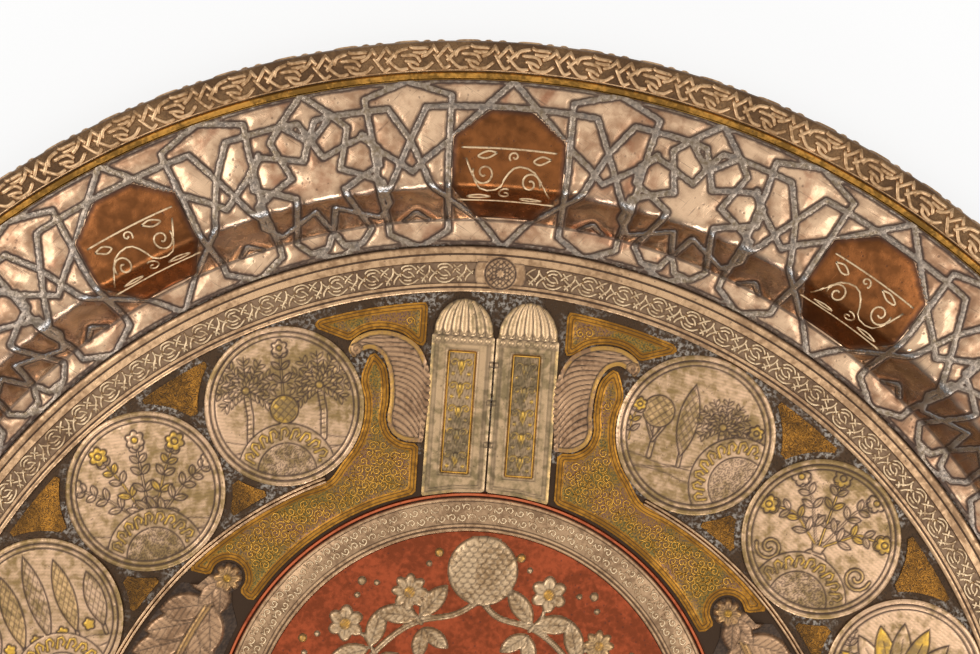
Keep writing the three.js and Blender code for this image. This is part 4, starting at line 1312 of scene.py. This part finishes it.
def palmette(relief, root, size, lobes, gilt=0.0):
    """A fan of lobes round a heart."""
    root = np.array(root, float)
    for lobe in range(lobes):
        aim = (lobe - (lobes - 1) / 2) * 200 / lobes
        reach = size * (1 - 0.25 * abs(lobe - (lobes - 1) / 2) / lobes)
        tip = root + direction(aim) * reach
        petal = leaf(root + direction(aim) * size * 0.15, tip, size * 0.13)
        relief.swell(petal, 0.5, 1.0, gilt=gilt * (lobe % 2))
        vein = [root + direction(aim) * size * 0.3, root + direction(aim) * reach * 0.8]
        relief.engrave(vein, 0.28, 0.08)
    relief.swell(knob(root, size * 0.17), 0.7, 1.0, gilt=1.0)


def star_knot(relief, centre, radius, gilt=0.0):
    """Two interlaced squares round a rosette."""
    centre = np.array(centre, float)
    for turn in (0, 45):
        corners = centre + radius * direction(np.arange(0, 450, 90) + turn)
        relief.swell(stroke(corners, 1.5), 0.45, 0.6, gilt=gilt)
        relief.engrave(corners, 0.28, 0.08)
    relief.swell(stroke(circle(radius * 0.72, 48, centre), 1.2), 0.4, 0.5)
    relief.swell(blossom(centre, radius * 0.5, 8), 0.6, 1.6, gilt=gilt)
    relief.swell(knob(centre, radius * 0.16), 0.8, 0.8, gilt=1.0)


def hills(relief, height, seed):
    """Ground lines across the foot of a picture."""
    rng = np.random.default_rng(seed)
    for row in range(3):
        lift = height - row * 2.1
        line = [(x, lift + 1.1 * math.sin(x / 5 + row * 2) + rng.uniform(-0.2, 0.2))
                for x in np.linspace(-26, 26, 24)]
        relief.engrave(line, 0.4, 0.12, 0.85)


# Medallions. Each is drawn upright in its own frame, over an arc with a chain of gold buds.

def medallion_grove(relief):
    tree(relief, (-13.5, -10), 15, 5.2, gilt=0.3)
    cypress(relief, (-3.5, -11), 27, 3.3)
    palm(relief, (8, -10), 14.5, 9.5)
    sprig(relief, [(18, -9), (17, -2), (19, 5)], 2.1, gilt=1.0, pairs=3)
    sprig(relief, [(-21, -6), (-21.5, 0), (-20, 6)], 1.9, gilt=1.0, pairs=3)


def medallion_vase(relief):
    vase(relief, (0, -14), 3.2)
    for end, gilt in (((0, 21), 1.0), ((-13, 17), 0.0), ((13, 17), 0.0), ((-20, 5), 1.0), ((20, 5), 1.0)):
        mid = (end[0] * 0.55, end[1] * 0.5 + 3)
        sprig(relief, [(end[0] * 0.08, -2), mid, end], 2.5, gilt=gilt, pairs=4)
    for side in (-1, 1):
        scroll = spiral((side * 15, -8), 4.5, 1.4, 90 * side, side, 20)
        relief.swell(stroke(scroll, 1.1), 0.4, 0.5, gilt=0.5)


def medallion_palmette(relief):
    palmette(relief, (0, -8), 26, 11, gilt=1.0)
    for side in (-1, 1):
        relief.swell(stroke(spiral((side * 12.5, -11), 5.5, 1.5, 60 * side, side, 24), 1.2), 0.45, 0.5)
        sprig(relief, [(side * 8, -9), (side * 18, -3), (side * 23, 6)], 2.0, pairs=3)


def medallion_knot(relief):
    star_knot(relief, (0, 4), 17, gilt=0.25)
    for turn in range(0, 360, 45):
        out = direction(turn + 22.5)
        spot = np.array((0, 4)) + 21 * out
        relief.swell(leaf(spot - 3 * out, spot + 2.8 * out, 1.5), 0.45, 0.8, gilt=(turn // 45) % 2)


def medallion_palms(relief):
    palm(relief, (-12, -11), 17, 11)
    palm(relief, (12, -11), 17, 11, gilt=0.3)
    tree(relief, (0, -11), 10, 4.6, gilt=1.0)
    sprig(relief, [(0, 4), (0, 12), (0, 19)], 2.2, pairs=3)


def medallion_spray(relief):
    for angle, gilt in ((-52, 0.0), (-26, 1.0), (0, 0.0), (26, 1.0), (52, 0.0)):
        aim = direction(angle)
        root = np.array((0, -12.0))
        sprig(relief, [root, root + aim * 16 + (0, 2), root + aim * 29], 2.6, gilt=gilt, pairs=5)


def medallion_cypresses(relief):
    for x, height in ((-18, 21), (-9, 28), (0, 32), (9, 28), (18, 21)):
        cypress(relief, (x, -11), height, 3.2, gilt=0.35 if abs(x) == 9 else 0.0)
    for x in (-13.5, -4.5, 4.5, 13.5):
        relief.swell(blossom(np.array((x, -6.5)), 2.1, 5), 0.5, 0.9, gilt=1.0)


def medallion_rosette(relief):
    centre = np.array((0, 4.0))
    for turn in range(0, 360, 30):
        tip = centre + direction(turn) * 21
        relief.swell(leaf(centre + direction(turn) * 6, tip, 3.0), 0.5, 1.4, gilt=0.3 * (turn // 30 % 2))
        relief.engrave([centre + direction(turn) * 8, centre + direction(turn) * 18], 0.32, 0.1)
    relief.swell(blossom(centre, 8, 12), 0.7, 2.0, gilt=0.6)
    relief.swell(knob(centre, 2.6), 0.9, 1.4, gilt=1.0)


# Each drawing with the height of the ground lines under it
MEDALLION_DRAWINGS = ((medallion_grove, -10.5), (medallion_palms, -11), (medallion_vase, None),
                      (medallion_spray, -12), (medallion_palmette, None), (medallion_cypresses, -11),
                      (medallion_knot, None), (medallion_rosette, None))
MEDALLION_RING = 193.4  # radius of the circle on which the medallions lie
MEDALLION_PITCH = 19.7  # degrees from one to the next
FIRST_MEDALLION = 25.7
MEDALLION_RADIUS = 32.5
MEDALLION_TOP = FLOOR + 1.1
FIELD_RADIUS = 28.2
ARC_PLACE = 27
ARC_OUTER = 20
ARC_INNER = 12
BOLDNESS = 1.25


def medallion_design(drawing, ground, seed, arc_turn):
    def design(relief):
        relief.hatch(knob((0, 0), FIELD_RADIUS), 4 + seed * 7 % 20, 1.4, 0.35, 0.3, 0.04)
        relief.enlarge(BOLDNESS)
        if ground:
            hills(relief, ground, seed)
        drawing(relief)
        relief.enlarge(1 / BOLDNESS)
        reach = distance(relief.points, (0, 0))
        outside = reach > FIELD_RADIUS
        away = direction(arc_turn) * ARC_PLACE
        for radius, rise in ((ARC_OUTER, 0.18), (ARC_INNER, 0.1)):
            arc = (distance(relief.points, away) < radius) & ~outside
            relief.height[arc] = rise
            relief.dark[arc] = 0.12
            relief.gilt[arc] = 0
            relief.engrave(circle(radius, 90, away), 0.7, 0.15)
        relief.stipple(knob(away, ARC_INNER - 0.6), seed)
        for step in range(-4, 5):
            turn = arc_turn + 180 + step * 16
            spot = away + direction(turn) * (ARC_OUTER + ARC_INNER) / 2
            if np.hypot(*spot) > FIELD_RADIUS - 1.5:
                continue
            ahead, out = direction(turn + 90), direction(turn)
            curl = [spot - ahead * 1.9 - out * 2.2, spot - ahead * 1.4 + out * 1.6,
                    spot + ahead * 0.2 + out * 2.2, spot + ahead * 1.3 + out * 0.4,
                    spot + ahead * 0.4 - out * 1.0]
            bead = knob(spot + ahead * 1.9 - out * 2.0, 0.8)
            relief.swell(stroke(curl, 1.15), 0.5, 0.5, base=0.15, gilt=1.0, outline=0.45)
            relief.swell(bead, 0.4, 0.5, base=0.15, gilt=1.0, outline=0.45)
        for layer in (relief.height, relief.dark, relief.gilt):
            layer[outside] = 0
        for radius, width, rise in ((31.5, 2.0, 0.6), (29.2, 1.3, 0.4)):
            relief.height += rise * np.sqrt(np.clip(1 - ((reach - radius) / (width / 2)) ** 2, 0, 1))
        for radius, width in ((30.3, 0.8), (28.3, 0.7)):
            relief.cut(relief.cover(width / 2 - np.abs(reach - radius)), 0.2)
    return design


def make_medallions():
    for index in range(16):
        name = f"medallion_{index + 1:02d}"
        low, high = box_mm(name)
        centre = (low + high)[:2] / 2
        turn = bearing(centre)
        drawing, ground = MEDALLION_DRAWINGS[index if index < 8 else (index * 3 + 1) % 8]
        design = medallion_design(drawing, ground, index, 128 if index == 0 else 182)
        lay = on_floor(turn, np.hypot(*centre), MEDALLION_TOP, face=0.35 * turn)
        mesh = relief_sheet(circle(MEDALLION_RADIUS, 180), 0.44 if index < 8 else 0.55, design, lay,
                            MEDALLION_TOP - FLOOR + BED_DEPTH)
        finish_piece(name + "_disc", mesh, COIN_SILVER, name, "coin_silver")


SPANDREL_REACH = 35.4  # from the middle of a medallion
SPANDREL_RINGS = {"outer": 223.6, "inner": 163.4}


def spandrel_outline(ring):
    """A filler between two medallions and a ring outside or inside them, about the plate's centre."""
    outward = ring > MEDALLION_RING
    centre = MEDALLION_RING * direction(MEDALLION_PITCH / 2)
    cosine = (MEDALLION_RING ** 2 + SPANDREL_REACH ** 2 - ring ** 2) / (2 * MEDALLION_RING * SPANDREL_REACH)
    start = bearing(-centre) + math.degrees(math.acos(cosine))
    tip_lift = math.sqrt(SPANDREL_REACH ** 2 - centre[0] ** 2) * (1 if outward else -1)
    end = bearing((-centre[0], tip_lift))
    sweep = (end - start + 180) % 360 - 180
    side = centre + SPANDREL_REACH * direction(start + np.linspace(0, sweep, 14))
    across = bearing(side[0])
    base = ring * direction(np.linspace(-across, across, 9)[1:-1])
    return np.vstack([side, side[::-1][1:] * (-1, 1), base])


def make_spandrels():
    def design(relief):
        relief.height += 0.1
    outlines = {place_word: spandrel_outline(ring) for place_word, ring in SPANDREL_RINGS.items()}
    for side, word in SIDES:
        for index in range(8):
            middle = side * (FIRST_MEDALLION + MEDALLION_PITCH * (index + 0.5))
            for place_word, outline in outlines.items():
                name = f"spandrel_{place_word}_{word}_{index + 1}"
                mesh = relief_sheet(outline, 1.0, design, on_floor(middle, 0, FLOOR + 0.45), 0.6)
                finish_piece(name, mesh, SPANDREL_GOLD, None, "gold_brass")


def make_border_wire():
    turns = np.linspace(24, 336, 420)
    level = np.full(len(turns), FLOOR + 0.1)
    lines = [np.column_stack([place(turns, radius), level]) for radius in (158.7, 160.15)]
    wire = swept(lines, 1.4, 1.4, shoulder=0.24, sunk=0.3)
    finish_piece("border_silver_wire", wire, MOULDED_SILVER, "border_wire", "silver")


# Roundel: a red copper disc, a chased ring, a copper wire and a silver relief

def ring_scrolls():
    """Two rows of small scrolls, each with a tail to the one before it."""
    lines = []
    count = 142
    for row, radius in enumerate((94.1, 98.1)):
        for index in range(count):
            turn = (index + row / 2) * 360 / count
            hand = 1 if (index + row) % 2 else -1
            spot = ROUNDEL + radius * direction(turn)
            tail = spot + direction(turn - 90 + hand * 40) * 2.9
            curl = np.vstack([[tail], spiral(spot, 1.8, 1.15, turn - 90 - hand * 15, hand, 10)])
            lines.append(np.column_stack([curl, np.full(len(curl), FLOOR + 1.15)]))
    return lines


def on_roundel(profile, **turning):
    """A disc or ring of the roundel, from its profile as (radius, height above the floor)."""
    mesh = spun(above_floor(profile), **turning)
    set_coordinates(mesh, coordinates(mesh) + (0, ROUNDEL[1] * MM, 0))
    return mesh


def make_roundel():
    disc = [(0, 1.05), (40, 1.05), (88.2, 1.05), (88.4, 0.8), (88.4, -0.05), (0, -0.05)]
    mesh = on_roundel(disc, steps=180, closed=False)
    finish_piece("roundel_ground", mesh, RED_COPPER, "roundel_disc", "red_copper")
    ring = [(88.5, -0.05), (88.5, 1.2), (88.9, 1.5), (89.5, 1.5), (89.9, 1.1), (90.1, 1.1), (90.5, 1.4),
            (91.1, 1.4), (91.5, 1.1), (91.8, 1.2), (100.3, 1.2), (100.6, 1.0), (101, 1.3), (101.7, 1.3),
            (102.2, 0.9), (102.3, -0.05)]
    mesh = on_roundel(ring, steps=300)
    darken_mouldings(mesh, ROUNDEL, (89.95, 91.5, 100.6, 102.25), 0.16, 0.9, (91.7, 100.4), 0.3)
    finish_piece("roundel_chased_ring", mesh, MOULDED_SILVER, "roundel_ring", "coin_silver")
    scrolls = swept(ring_scrolls(), 0.85, 0.45, shoulder=0.2, sunk=0.2)
    finish_piece("roundel_ring_scrolls", scrolls, INLAY_SILVER, "roundel_ring", "coin_silver")
    wire = [(102.5, -0.05), (104.3, -0.05), (104.2, 1.1), (103.8, 1.7), (103.0, 1.7), (102.6, 1.1)]
    mesh = on_roundel(wire, steps=300)
    finish_piece("roundel_copper_wire", mesh, COPPER_WIRE, "roundel_wire", "copper")


WREATH_TOP = FLOOR + 0.9


def ribbed_leaf(relief, root, turn, length, half, gilt=0.0, lift=0.5):
    """A leaf with a midrib and slanting veins, standing on the sheet."""
    root = np.asarray(root, float)
    ahead = direction(turn)
    across = direction(turn + 90)
    tip = root + ahead * length
    relief.swell(leaf(root, tip, half), 1.3, 1.8, base=lift, gilt=gilt, outline=0.35)
    relief.engrave([root + ahead * length * 0.06, tip - ahead * length * 0.06], 0.4, 0.15)
    for share in np.arange(0.18, 0.86, 0.13):
        spot = root + ahead * length * share
        reach = half * 0.9 * math.sin(share * math.pi)
        for side in (-1, 1):
            relief.engrave([spot, spot + across * side * reach + ahead * reach * 0.9], 0.3, 0.12, 0.85)


def petalled(relief, centre, radius, petals, gilt=0.0, lift=0.5):
    centre = np.asarray(centre, float)
    relief.swell(blossom(centre, radius, petals), 1.3, 2.2, base=lift, gilt=gilt, outline=0.35)
    for petal in range(petals):
        aim = direction((petal + 0.5) * 360 / petals)
        relief.engrave([centre + aim * radius * 0.3, centre + aim * radius * 0.75], 0.35, 0.12)
        aim = direction(petal * 360 / petals)
        relief.engrave([centre + aim * radius * 0.35, centre + aim * radius * 0.62], 0.26, 0.1)
    relief.swell(knob(centre, radius * 0.3), 1.0, 1.2, base=lift + 0.9, gilt=1.0, outline=0.4)
    relief.hatch(knob(centre, radius * 0.24), 45, 1.0, 0.28, 0.8)


def scaled_crown(relief, centre, radius):
    """A round crown of overlapping scales."""
    centre = np.asarray(centre, float)
    relief.swell(knob(centre, radius), 1.7, radius * 0.6, base=0.6, outline=0.5)
    pitch = 3.4
    for row, up in enumerate(np.arange(radius - 1.2, -radius, -pitch * 0.62)):
        for x in np.arange(-radius - pitch, radius + pitch, pitch) + (row % 2) * pitch / 2:
            if math.hypot(x, up) < radius - 0.8:
                scale = centre + (x, up) + 1.75 * direction(np.arange(90, 280, 22.5))
                relief.engrave(scale, 0.42, 0.2, 0.95)


def wreath_design(relief):
    relief.height -= 0.5
    crown = np.array((1.4, 72.6))
    for side in (-1, 1):
        stem = [crown + (0, -12), (side * 9, 54), (side * 24, 50), (side * 37, 40), (side * 50, 22),
                (side * 53, 0), (side * 47, -24), (side * 33, -43), (side * 14, -53), (0, -55)]
        line = smooth_line(np.array(stem, float), np.linspace(0, 1, 70))
        relief.swell(stroke(line, 2.6), 1.0, 1.2, base=0.5, outline=0.35)
        relief.engrave(line, 0.35, 0.1)
    for turn in range(24, 340, 24):
        out = direction(turn)
        swing = 14 if (turn // 24) % 2 else -14
        root = out * 54
        bud = out * (71 if (turn // 24) % 2 else 68)
        gold = 1.0 if (turn // 24) % 5 == 2 else 0.0
        relief.swell(stroke([root, root + direction(turn + swing) * 8, bud], 1.6), 0.9, 0.8, base=0.5)
        for aim in (turn + 62, turn - 62):
            ribbed_leaf(relief, root + out * 3, aim, 17.5, 4.1)
        petalled(relief, bud, 7.6 if gold == 0 else 6.4, 6 if (turn // 24) % 2 else 8, gilt=0.35 * gold)
        ribbed_leaf(relief, root - out * 1.5, turn + 150, 13.5, 3.4, gilt=gold)
        ribbed_leaf(relief, root - out * 1.5, turn - 150, 13.5, 3.4)
    for turn in range(12, 372, 24):
        gilt = 1.0 if turn % 48 == 12 else 0.0
        relief.swell(knob(80.5 * direction(turn), 1.9), 1.1, 1.5, base=0.5, gilt=gilt)
        for swing in (3.5, -3.5):
            relief.swell(knob(76.8 * direction(turn + swing), 1.3), 1.0, 1.1, base=0.5)
    for turn in range(0, 360, 30):
        ribbed_leaf(relief, 9 * direction(turn), turn, 20, 4.6, gilt=0.4 * (turn // 30 % 2))
    for turn in range(15, 375, 30):
        relief.swell(knob(27.5 * direction(turn), 2.0), 1.0, 1.6, base=0.5, gilt=1.0)
    petalled(relief, (0, 0), 11, 12, gilt=0.5, lift=1.0)
    scaled_crown(relief, crown, 14.4)


def make_wreath():
    mesh = relief_sheet(circle(87.0, 300), 0.6, wreath_design, on_floor(0, ROUNDEL[1], WREATH_TOP), 0.75)
    finish_piece("roundel_silver_wreath", mesh, WREATH_SILVER, "roundel_wreath", "silver")


# Arched panels with their sunk fields, frames and domes

PANEL_TOP = FLOOR + 1.9
PANEL_MIDDLE = 13.1
FIELD_LOW, FIELD_HIGH = 151.7, 202.1
FIELD_HALF = 6.0
DOME_FOOT = 208.2
DOME_HALF = 12.2
DOME_RISE = 15
HINGES = (197, 181.5, 164.5)


def bar(low, high):
    """Corners of an upright rectangle."""
    return [(low[0], low[1]), (high[0], low[1]), (high[0], high[1]), (low[0], high[1])]


def field_corners(margin):
    """Corners of a panel's sunk field, moved outwards by a margin."""
    reach = FIELD_HALF + margin
    return bar((PANEL_MIDDLE - reach, FIELD_LOW - margin), (PANEL_MIDDLE + reach, FIELD_HIGH + margin))


def arched_panel_design(relief, edges):
    x, y = relief.points[:, 0] - PANEL_MIDDLE, relief.points[:, 1]
    edge = edge_distance(relief.points, edges)
    relief.round_edge(edge, 0.35, 0.9)
    for inset in (1.6, 2.7):
        relief.cut(relief.cover(0.2 - np.abs(edge - inset)) * (y < DOME_FOOT - 3), 0.12, 0.9)
    gold = (edge < 1.1) * (y < DOME_FOOT - 4) * (x > 0)
    relief.gilt = np.maximum(relief.gilt, gold * 0.4)
    field = polygon(field_corners(0))
    relief.sink(field, 0.3, 0.6)
    relief.hatch(field, 78, 1.15, 0.35, 0.9, 0.04)
    frame_line = field_corners(0.7)
    relief.engrave(frame_line + frame_line[:1], 0.4, 0.1, 0.8)
    for row in range(5):
        heart = np.array((PANEL_MIDDLE, FIELD_LOW + 6.4 + row * 9.4))
        relief.swell(leaf(heart - (0, 2.6), heart + (0, 2.6), 1.5), 0.5, 0.7, base=-0.5, gilt=1.0)
        for hand in (-1, 1):
            curl = spiral(heart + (hand * 2.9, 1.2), 1.9, 1.1, 180 + hand * 70, hand, 16)
            relief.swell(stroke(np.vstack([heart - (0, 3.4), curl]), 0.8), 0.45, 0.4, base=-0.5, gilt=1.0,
                         outline=0.3)
            relief.swell(knob(heart + (hand * 3.2, -3.2), 0.8), 0.4, 0.5, base=-0.5, gilt=1.0, outline=0.3)
    for hinge in HINGES:
        relief.swell(polygon(bar((0.2, hinge - 0.95), (1.9, hinge + 0.95))), 0.5, 0.7, outline=0.45)
    relief.engrave([(2.6, 146), (2.6, 205)], 0.45, 0.14, 0.95)
    up = np.clip((y - DOME_FOOT) / DOME_RISE, 0, 0.999)
    in_dome = y > DOME_FOOT - 0.2
    meridian = x / (DOME_HALF * np.sqrt(1 - up ** 2)) * 3.5
    lobe = np.abs(np.cos(meridian * math.pi))
    relief.height = np.where(in_dome, 0.1 + 0.8 * lobe ** 0.6 * (1 - 0.6 * up), relief.height)
    scallop = np.clip((0.30 - lobe * 0.22 - (y - DOME_FOOT) / 9) / 0.06, 0, 1)
    relief.height = np.where(in_dome, relief.height - 0.35 * scallop, relief.height)
    groove = np.maximum(np.clip(1.3 - lobe / 0.42, 0, 1), np.clip(1 - np.abs(scallop - 0.5) * 2, 0, 1))
    rim = np.clip(1 - edge / 0.6, 0, 1)
    relief.dark = np.where(in_dome, np.maximum(0.85 * groove, 0.9 * rim), relief.dark)
    relief.gilt = np.where(in_dome, 0.25 * (edge < 1), relief.gilt)
    for level, width in ((DOME_FOOT - 0.4, 0.5), (DOME_FOOT - 3.4, 0.4)):
        relief.engrave([(PANEL_MIDDLE - 12, level), (PANEL_MIDDLE + 12, level)], width, 0.2, 0.95)
    for lobe_index in range(7):
        spot = (PANEL_MIDDLE + (lobe_index - 3) * 3.35, DOME_FOOT - 1.9)
        relief.swell(knob(spot, 1.15), 0.4, 0.9, outline=0.3)


def make_arched_panels():
    for side, word in SIDES:
        node = f"arched_panel_{word}"
        outline = outline_of(node)
        design = mirrored(side, arched_panel_design, outline * (side, 1))
        floor_piece(node, outline, 0.48, design, PANEL_TOP, PANEL_SILVER)
        line = [(side * x, y, PANEL_TOP - 0.55) for x, y in field_corners(-0.75)]
        wire = swept([line], 0.95, 0.75, closed=True, shoulder=0.25, sunk=0.1)
        finish_piece(f"inlay_frame_{word}_wire", wire, GOLD_WIRE, f"inlay_frame_{word}", "gold_brass")


# Feathered leaves, with barbs that sweep out from the side along the panels

LEAF_SIDE = 26.7  # where a leaf begins, beside its panel
LEAF_FOOT = 163.6


def leaf_design(relief, edges):
    x, y = np.maximum(relief.points[:, 0] - LEAF_SIDE, 0), relief.points[:, 1] - LEAF_FOOT
    edge = edge_distance(relief.points, edges)
    fan = np.clip((y - 20) / 24, 0, 1)
    bend = 11.5 * (1 - np.exp(-(x / 6.0) ** 1.25)) * (1 - 0.75 * fan) - 0.32 * x * fan + 0.12 * x
    barb = (y - bend) / 2.9
    share = barb - np.floor(barb)
    lobe = np.sin(share * math.pi) ** 0.6
    margin = (edge > 1.9) | (x < 1.2)
    relief.height = np.where(margin, 0.7 * lobe, 0.6)
    relief.dark = np.where(margin, np.clip(1.15 - np.minimum(share, 1 - share) / 0.17, 0, 1), 0)
    relief.cut(relief.cover(0.25 - np.abs(edge - 1.9)) * (x > 1.6), 0)
    relief.gilt = 0.75 * ((edge < 1.8) & (x > 2))
    relief.round_edge(edge, 0.35, 0.8)
    curl = leaf_tip(edges)
    relief.swell(knob(curl, 2.5), 0.7, 1.5, base=0.3, gilt=0.2)
    relief.engrave(spiral(curl, 2.4, 1.2, 180, 1, 18), 0.4, 0.15)


def leaf_tip(edges):
    """Middle of the curl at the leaf's end."""
    far = edges[edges[:, 0] > edges[:, 0].max() - 3.0]
    return far.mean(0) - (2.0, 0)


def make_leaves():
    for side, word in SIDES:
        node = f"feathered_leaf_{word}"
        outline = eased(outline_of(node), sharp=75)
        design = mirrored(side, leaf_design, outline * (side, 1))
        floor_piece(node, outline, 0.45, design, FLOOR + 1.5, LEAF_SILVER)


# Sprays beside the roundel, and the cartouche below it

SPRAY_BUD_TURN = 44.6
SPRAY_BUD = place(SPRAY_BUD_TURN, 145)
SPRAY_INNER = 106.0  # from the middle of the roundel
SPRAY_EDGE = 156.6
SPRAY_END = 84


def spray_reach(turn):
    """How far the inner edge of a spray lies from the plate's centre, at an angle on the plate."""
    along = ROUNDEL[1] * np.cos(np.radians(turn))
    return along + np.sqrt(along ** 2 + SPRAY_INNER ** 2 - ROUNDEL[1] ** 2)


def spray_outline():
    """The space between the roundel and the border wire, with a bud in the notch of the brass panel."""
    turns = np.linspace(SPRAY_END, 49, 24)
    inner = place(turns, spray_reach(turns))
    outer = place(np.linspace(50.4, SPRAY_END, 24), np.full(24, SPRAY_EDGE))
    swing = np.radians(np.linspace(-115, 115, 15))[:, None]
    back, out = direction(SPRAY_BUD_TURN + 90), direction(SPRAY_BUD_TURN)
    bud = SPRAY_BUD + 6.0 * (np.sin(swing) * out - np.cos(swing) * back)
    return np.vstack([inner, [place(47.2, 135.5)], bud, [place(48.7, 151)], outer])


def spray_design(relief):
    """A stem along the middle, with ribbed leaves that sweep back from the bud."""
    relief.height -= 0.6
    relief.dark = np.random.default_rng(5).uniform(0.88, 1.0, len(relief.dark))
    turns = np.linspace(46, SPRAY_END - 0.5, 60)
    room = (SPRAY_EDGE - spray_reach(turns)) / 2
    stem = place(turns, SPRAY_EDGE - room)
    stem[:8] += (SPRAY_BUD + 2.5 * direction(SPRAY_BUD_TURN + 90) - stem[0]) * np.linspace(1, 0, 8)[:, None]
    for turn in np.arange(SPRAY_END + 2, 48.5, -3.3):
        half = np.interp(turn, turns, room)
        root = along_line(stem, turn, turns)
        for hand in (-1, 1):
            ribbed_leaf(relief, root, turn + 94 + hand * 42, half * 1.4, 5.6, lift=0.1)
    relief.swell(stroke(stem, 3.0), 1.1, 1.5, base=0.8, gilt=0.5)
    relief.engrave(stem, 0.4, 0.12)
    for hand in (-1, 0, 1):
        root = SPRAY_BUD + 3 * direction(SPRAY_BUD_TURN + 90)
        ribbed_leaf(relief, root, 138 + hand * 42, 13, 3.6, lift=0.5)
    petalled(relief, SPRAY_BUD, 5.8, 8, gilt=0.4, lift=0.4)


CARTOUCHE_FOOT = 148  # how far below the plate's centre


def cartouche_design(outline):
    def design(relief):
        edge = edge_distance(relief.points, outline)
        relief.round_edge(edge, 0.35, 1.0)
        relief.height -= 0.6 * np.clip((edge - 5.0) / 0.4, 0, 1)
        for inset, width in ((1.5, 0.35), (3.4, 0.35), (5.0, 0.5)):
            relief.cut(relief.cover(width / 2 - np.abs(edge - inset)), 0)
        strip = (0, -110), 60, lambda points: np.where(np.abs(points[:, 0]) < 24, 3.0, -3.0)
        relief.hatch(strip, 10, 1.6, 0.35, 0.22, 0.02)
        relief.points[:, 1] += CARTOUCHE_FOOT
        vase(relief, (0, 6), 5.0, gilt=0.4)
        for end, gilt in (((0, 74), 1.0), ((-15, 66), 0.0), ((15, 66), 0.0), ((-18, 44), 1.0),
                          ((18, 44), 1.0)):
            mid = (end[0] * 0.55, 26 + (end[1] - 26) * 0.5 + 3)
            sprig(relief, [(end[0] * 0.06, 27), mid, end], 3.0, gilt=gilt, pairs=5)
        for hand in (-1, 1):
            sprig(relief, [(hand * 4, 24), (hand * 14, 28), (hand * 19, 18)], 2.4, gilt=0.0, pairs=3)
            scroll = spiral((hand * 14, 6), 4.5, 1.4, 90 * hand, hand, 20)
            relief.swell(stroke(scroll, 1.2), 0.4, 0.5, gilt=1.0)
        relief.points[:, 1] -= CARTOUCHE_FOOT
    return design


def make_sprays_and_cartouche():
    for side, word in SIDES:
        outline = spray_outline() * (side, 1)
        design = mirrored(side, spray_design)
        floor_piece(f"side_spray_{word}", outline, 0.55, design, FLOOR + 0.9, LEAF_SILVER)
    outline = outline_of("cartouche")
    floor_piece("cartouche", outline, 0.6, cartouche_design(outline), PANEL_TOP, PANEL_SILVER)


# Camera, light and floor

def make_stage():
    camera_data = bpy.data.cameras.new("camera")
    camera_data.lens = 51.6
    camera = bpy.data.objects.new("camera", camera_data)
    camera.location = (-0.0027, 0.2123, 0.5736)
    camera.rotation_euler = (0, 0, math.radians(4.05))
    bpy.context.scene.collection.objects.link(camera)
    bpy.context.scene.camera = camera

    world = bpy.data.worlds.new("studio")
    world.use_nodes = True
    bpy.context.scene.world = world
    nodes = Nodes(world.node_tree)
    spot = nodes.add("TexCoord", out=0)
    axes = nodes.add("SeparateXYZ", {"Vector": spot}).node.outputs
    overhead = nodes.span(axes["Z"], 0.0, 0.95, 0.22, 0.95, smooth=True)
    background = world.node_tree.nodes["Background"]
    world.node_tree.links.new(overhead, background.inputs["Strength"])
    background.inputs["Color"].default_value = (1, 0.985, 0.96, 1)

    lamps = (
        ("window_left", -1.25, 0.45, 1.25, 0.8, 1.6, 7.6),
        ("window_right", 1.25, 0.1, 1.25, 0.8, 1.6, 5.8),
        ("strip_low", 0.35, -1.25, 0.62, 1.0, 0.3, 5.5),
    )
    for name, x, y, z, width, height, energy in lamps:
        lamp_data = bpy.data.lights.new(name, "AREA")
        lamp_data.shape = "RECTANGLE"
        lamp_data.size = width
        lamp_data.size_y = height
        lamp_data.energy = energy
        lamp = bpy.data.objects.new(name, lamp_data)
        lamp.location = (x, y, z)
        lamp.rotation_euler = (Vector((0, 0.15, 0)) - lamp.location).to_track_quat("-Z", "Y").to_euler()
        bpy.context.scene.collection.objects.link(lamp)

    bm = bmesh.new()
    bmesh.ops.create_circle(bm, cap_ends=True, segments=96, radius=8)
    floor = bpy.data.objects.new("floor", to_mesh(bm, smooth=False))
    bpy.context.scene.collection.objects.link(floor)
    paper = bpy.data.materials.new("white_paper")
    paper.use_nodes = True
    nodes = Nodes(paper.node_tree)
    shader = paper.node_tree.nodes["Principled BSDF"]
    shader.inputs["Base Color"].default_value = (0.9, 0.9, 0.9, 1)
    shader.inputs["Roughness"].default_value = 0.8
    path = nodes.add("LightPath").node.outputs
    seen = nodes.most(nodes.most(path["Is Camera Ray"], path["Is Glossy Ray"]),
                      path["Is Transmission Ray"])
    glow = nodes.add("Emission", {"Strength": 1.0})
    blend = nodes.add("MixShader", {0: nodes.times(seen, 0.75), 1: shader.outputs[0], 2: glow})
    output = paper.node_tree.nodes["Material Output"]
    paper.node_tree.links.new(blend, output.inputs["Surface"])
    floor.data.materials.append(paper)


make_stage()
make_dish()
make_rim_band()
make_inner_band()
make_bosses()
make_strapwork()
make_plaques()
make_brass_panels()
make_medallions()
make_spandrels()
make_border_wire()
make_roundel()
make_wreath()
make_arched_panels()
make_leaves()
make_sprays_and_cartouche()

bpy.context.scene.view_settings.view_transform = "Standard"
bpy.context.view_layer.update()
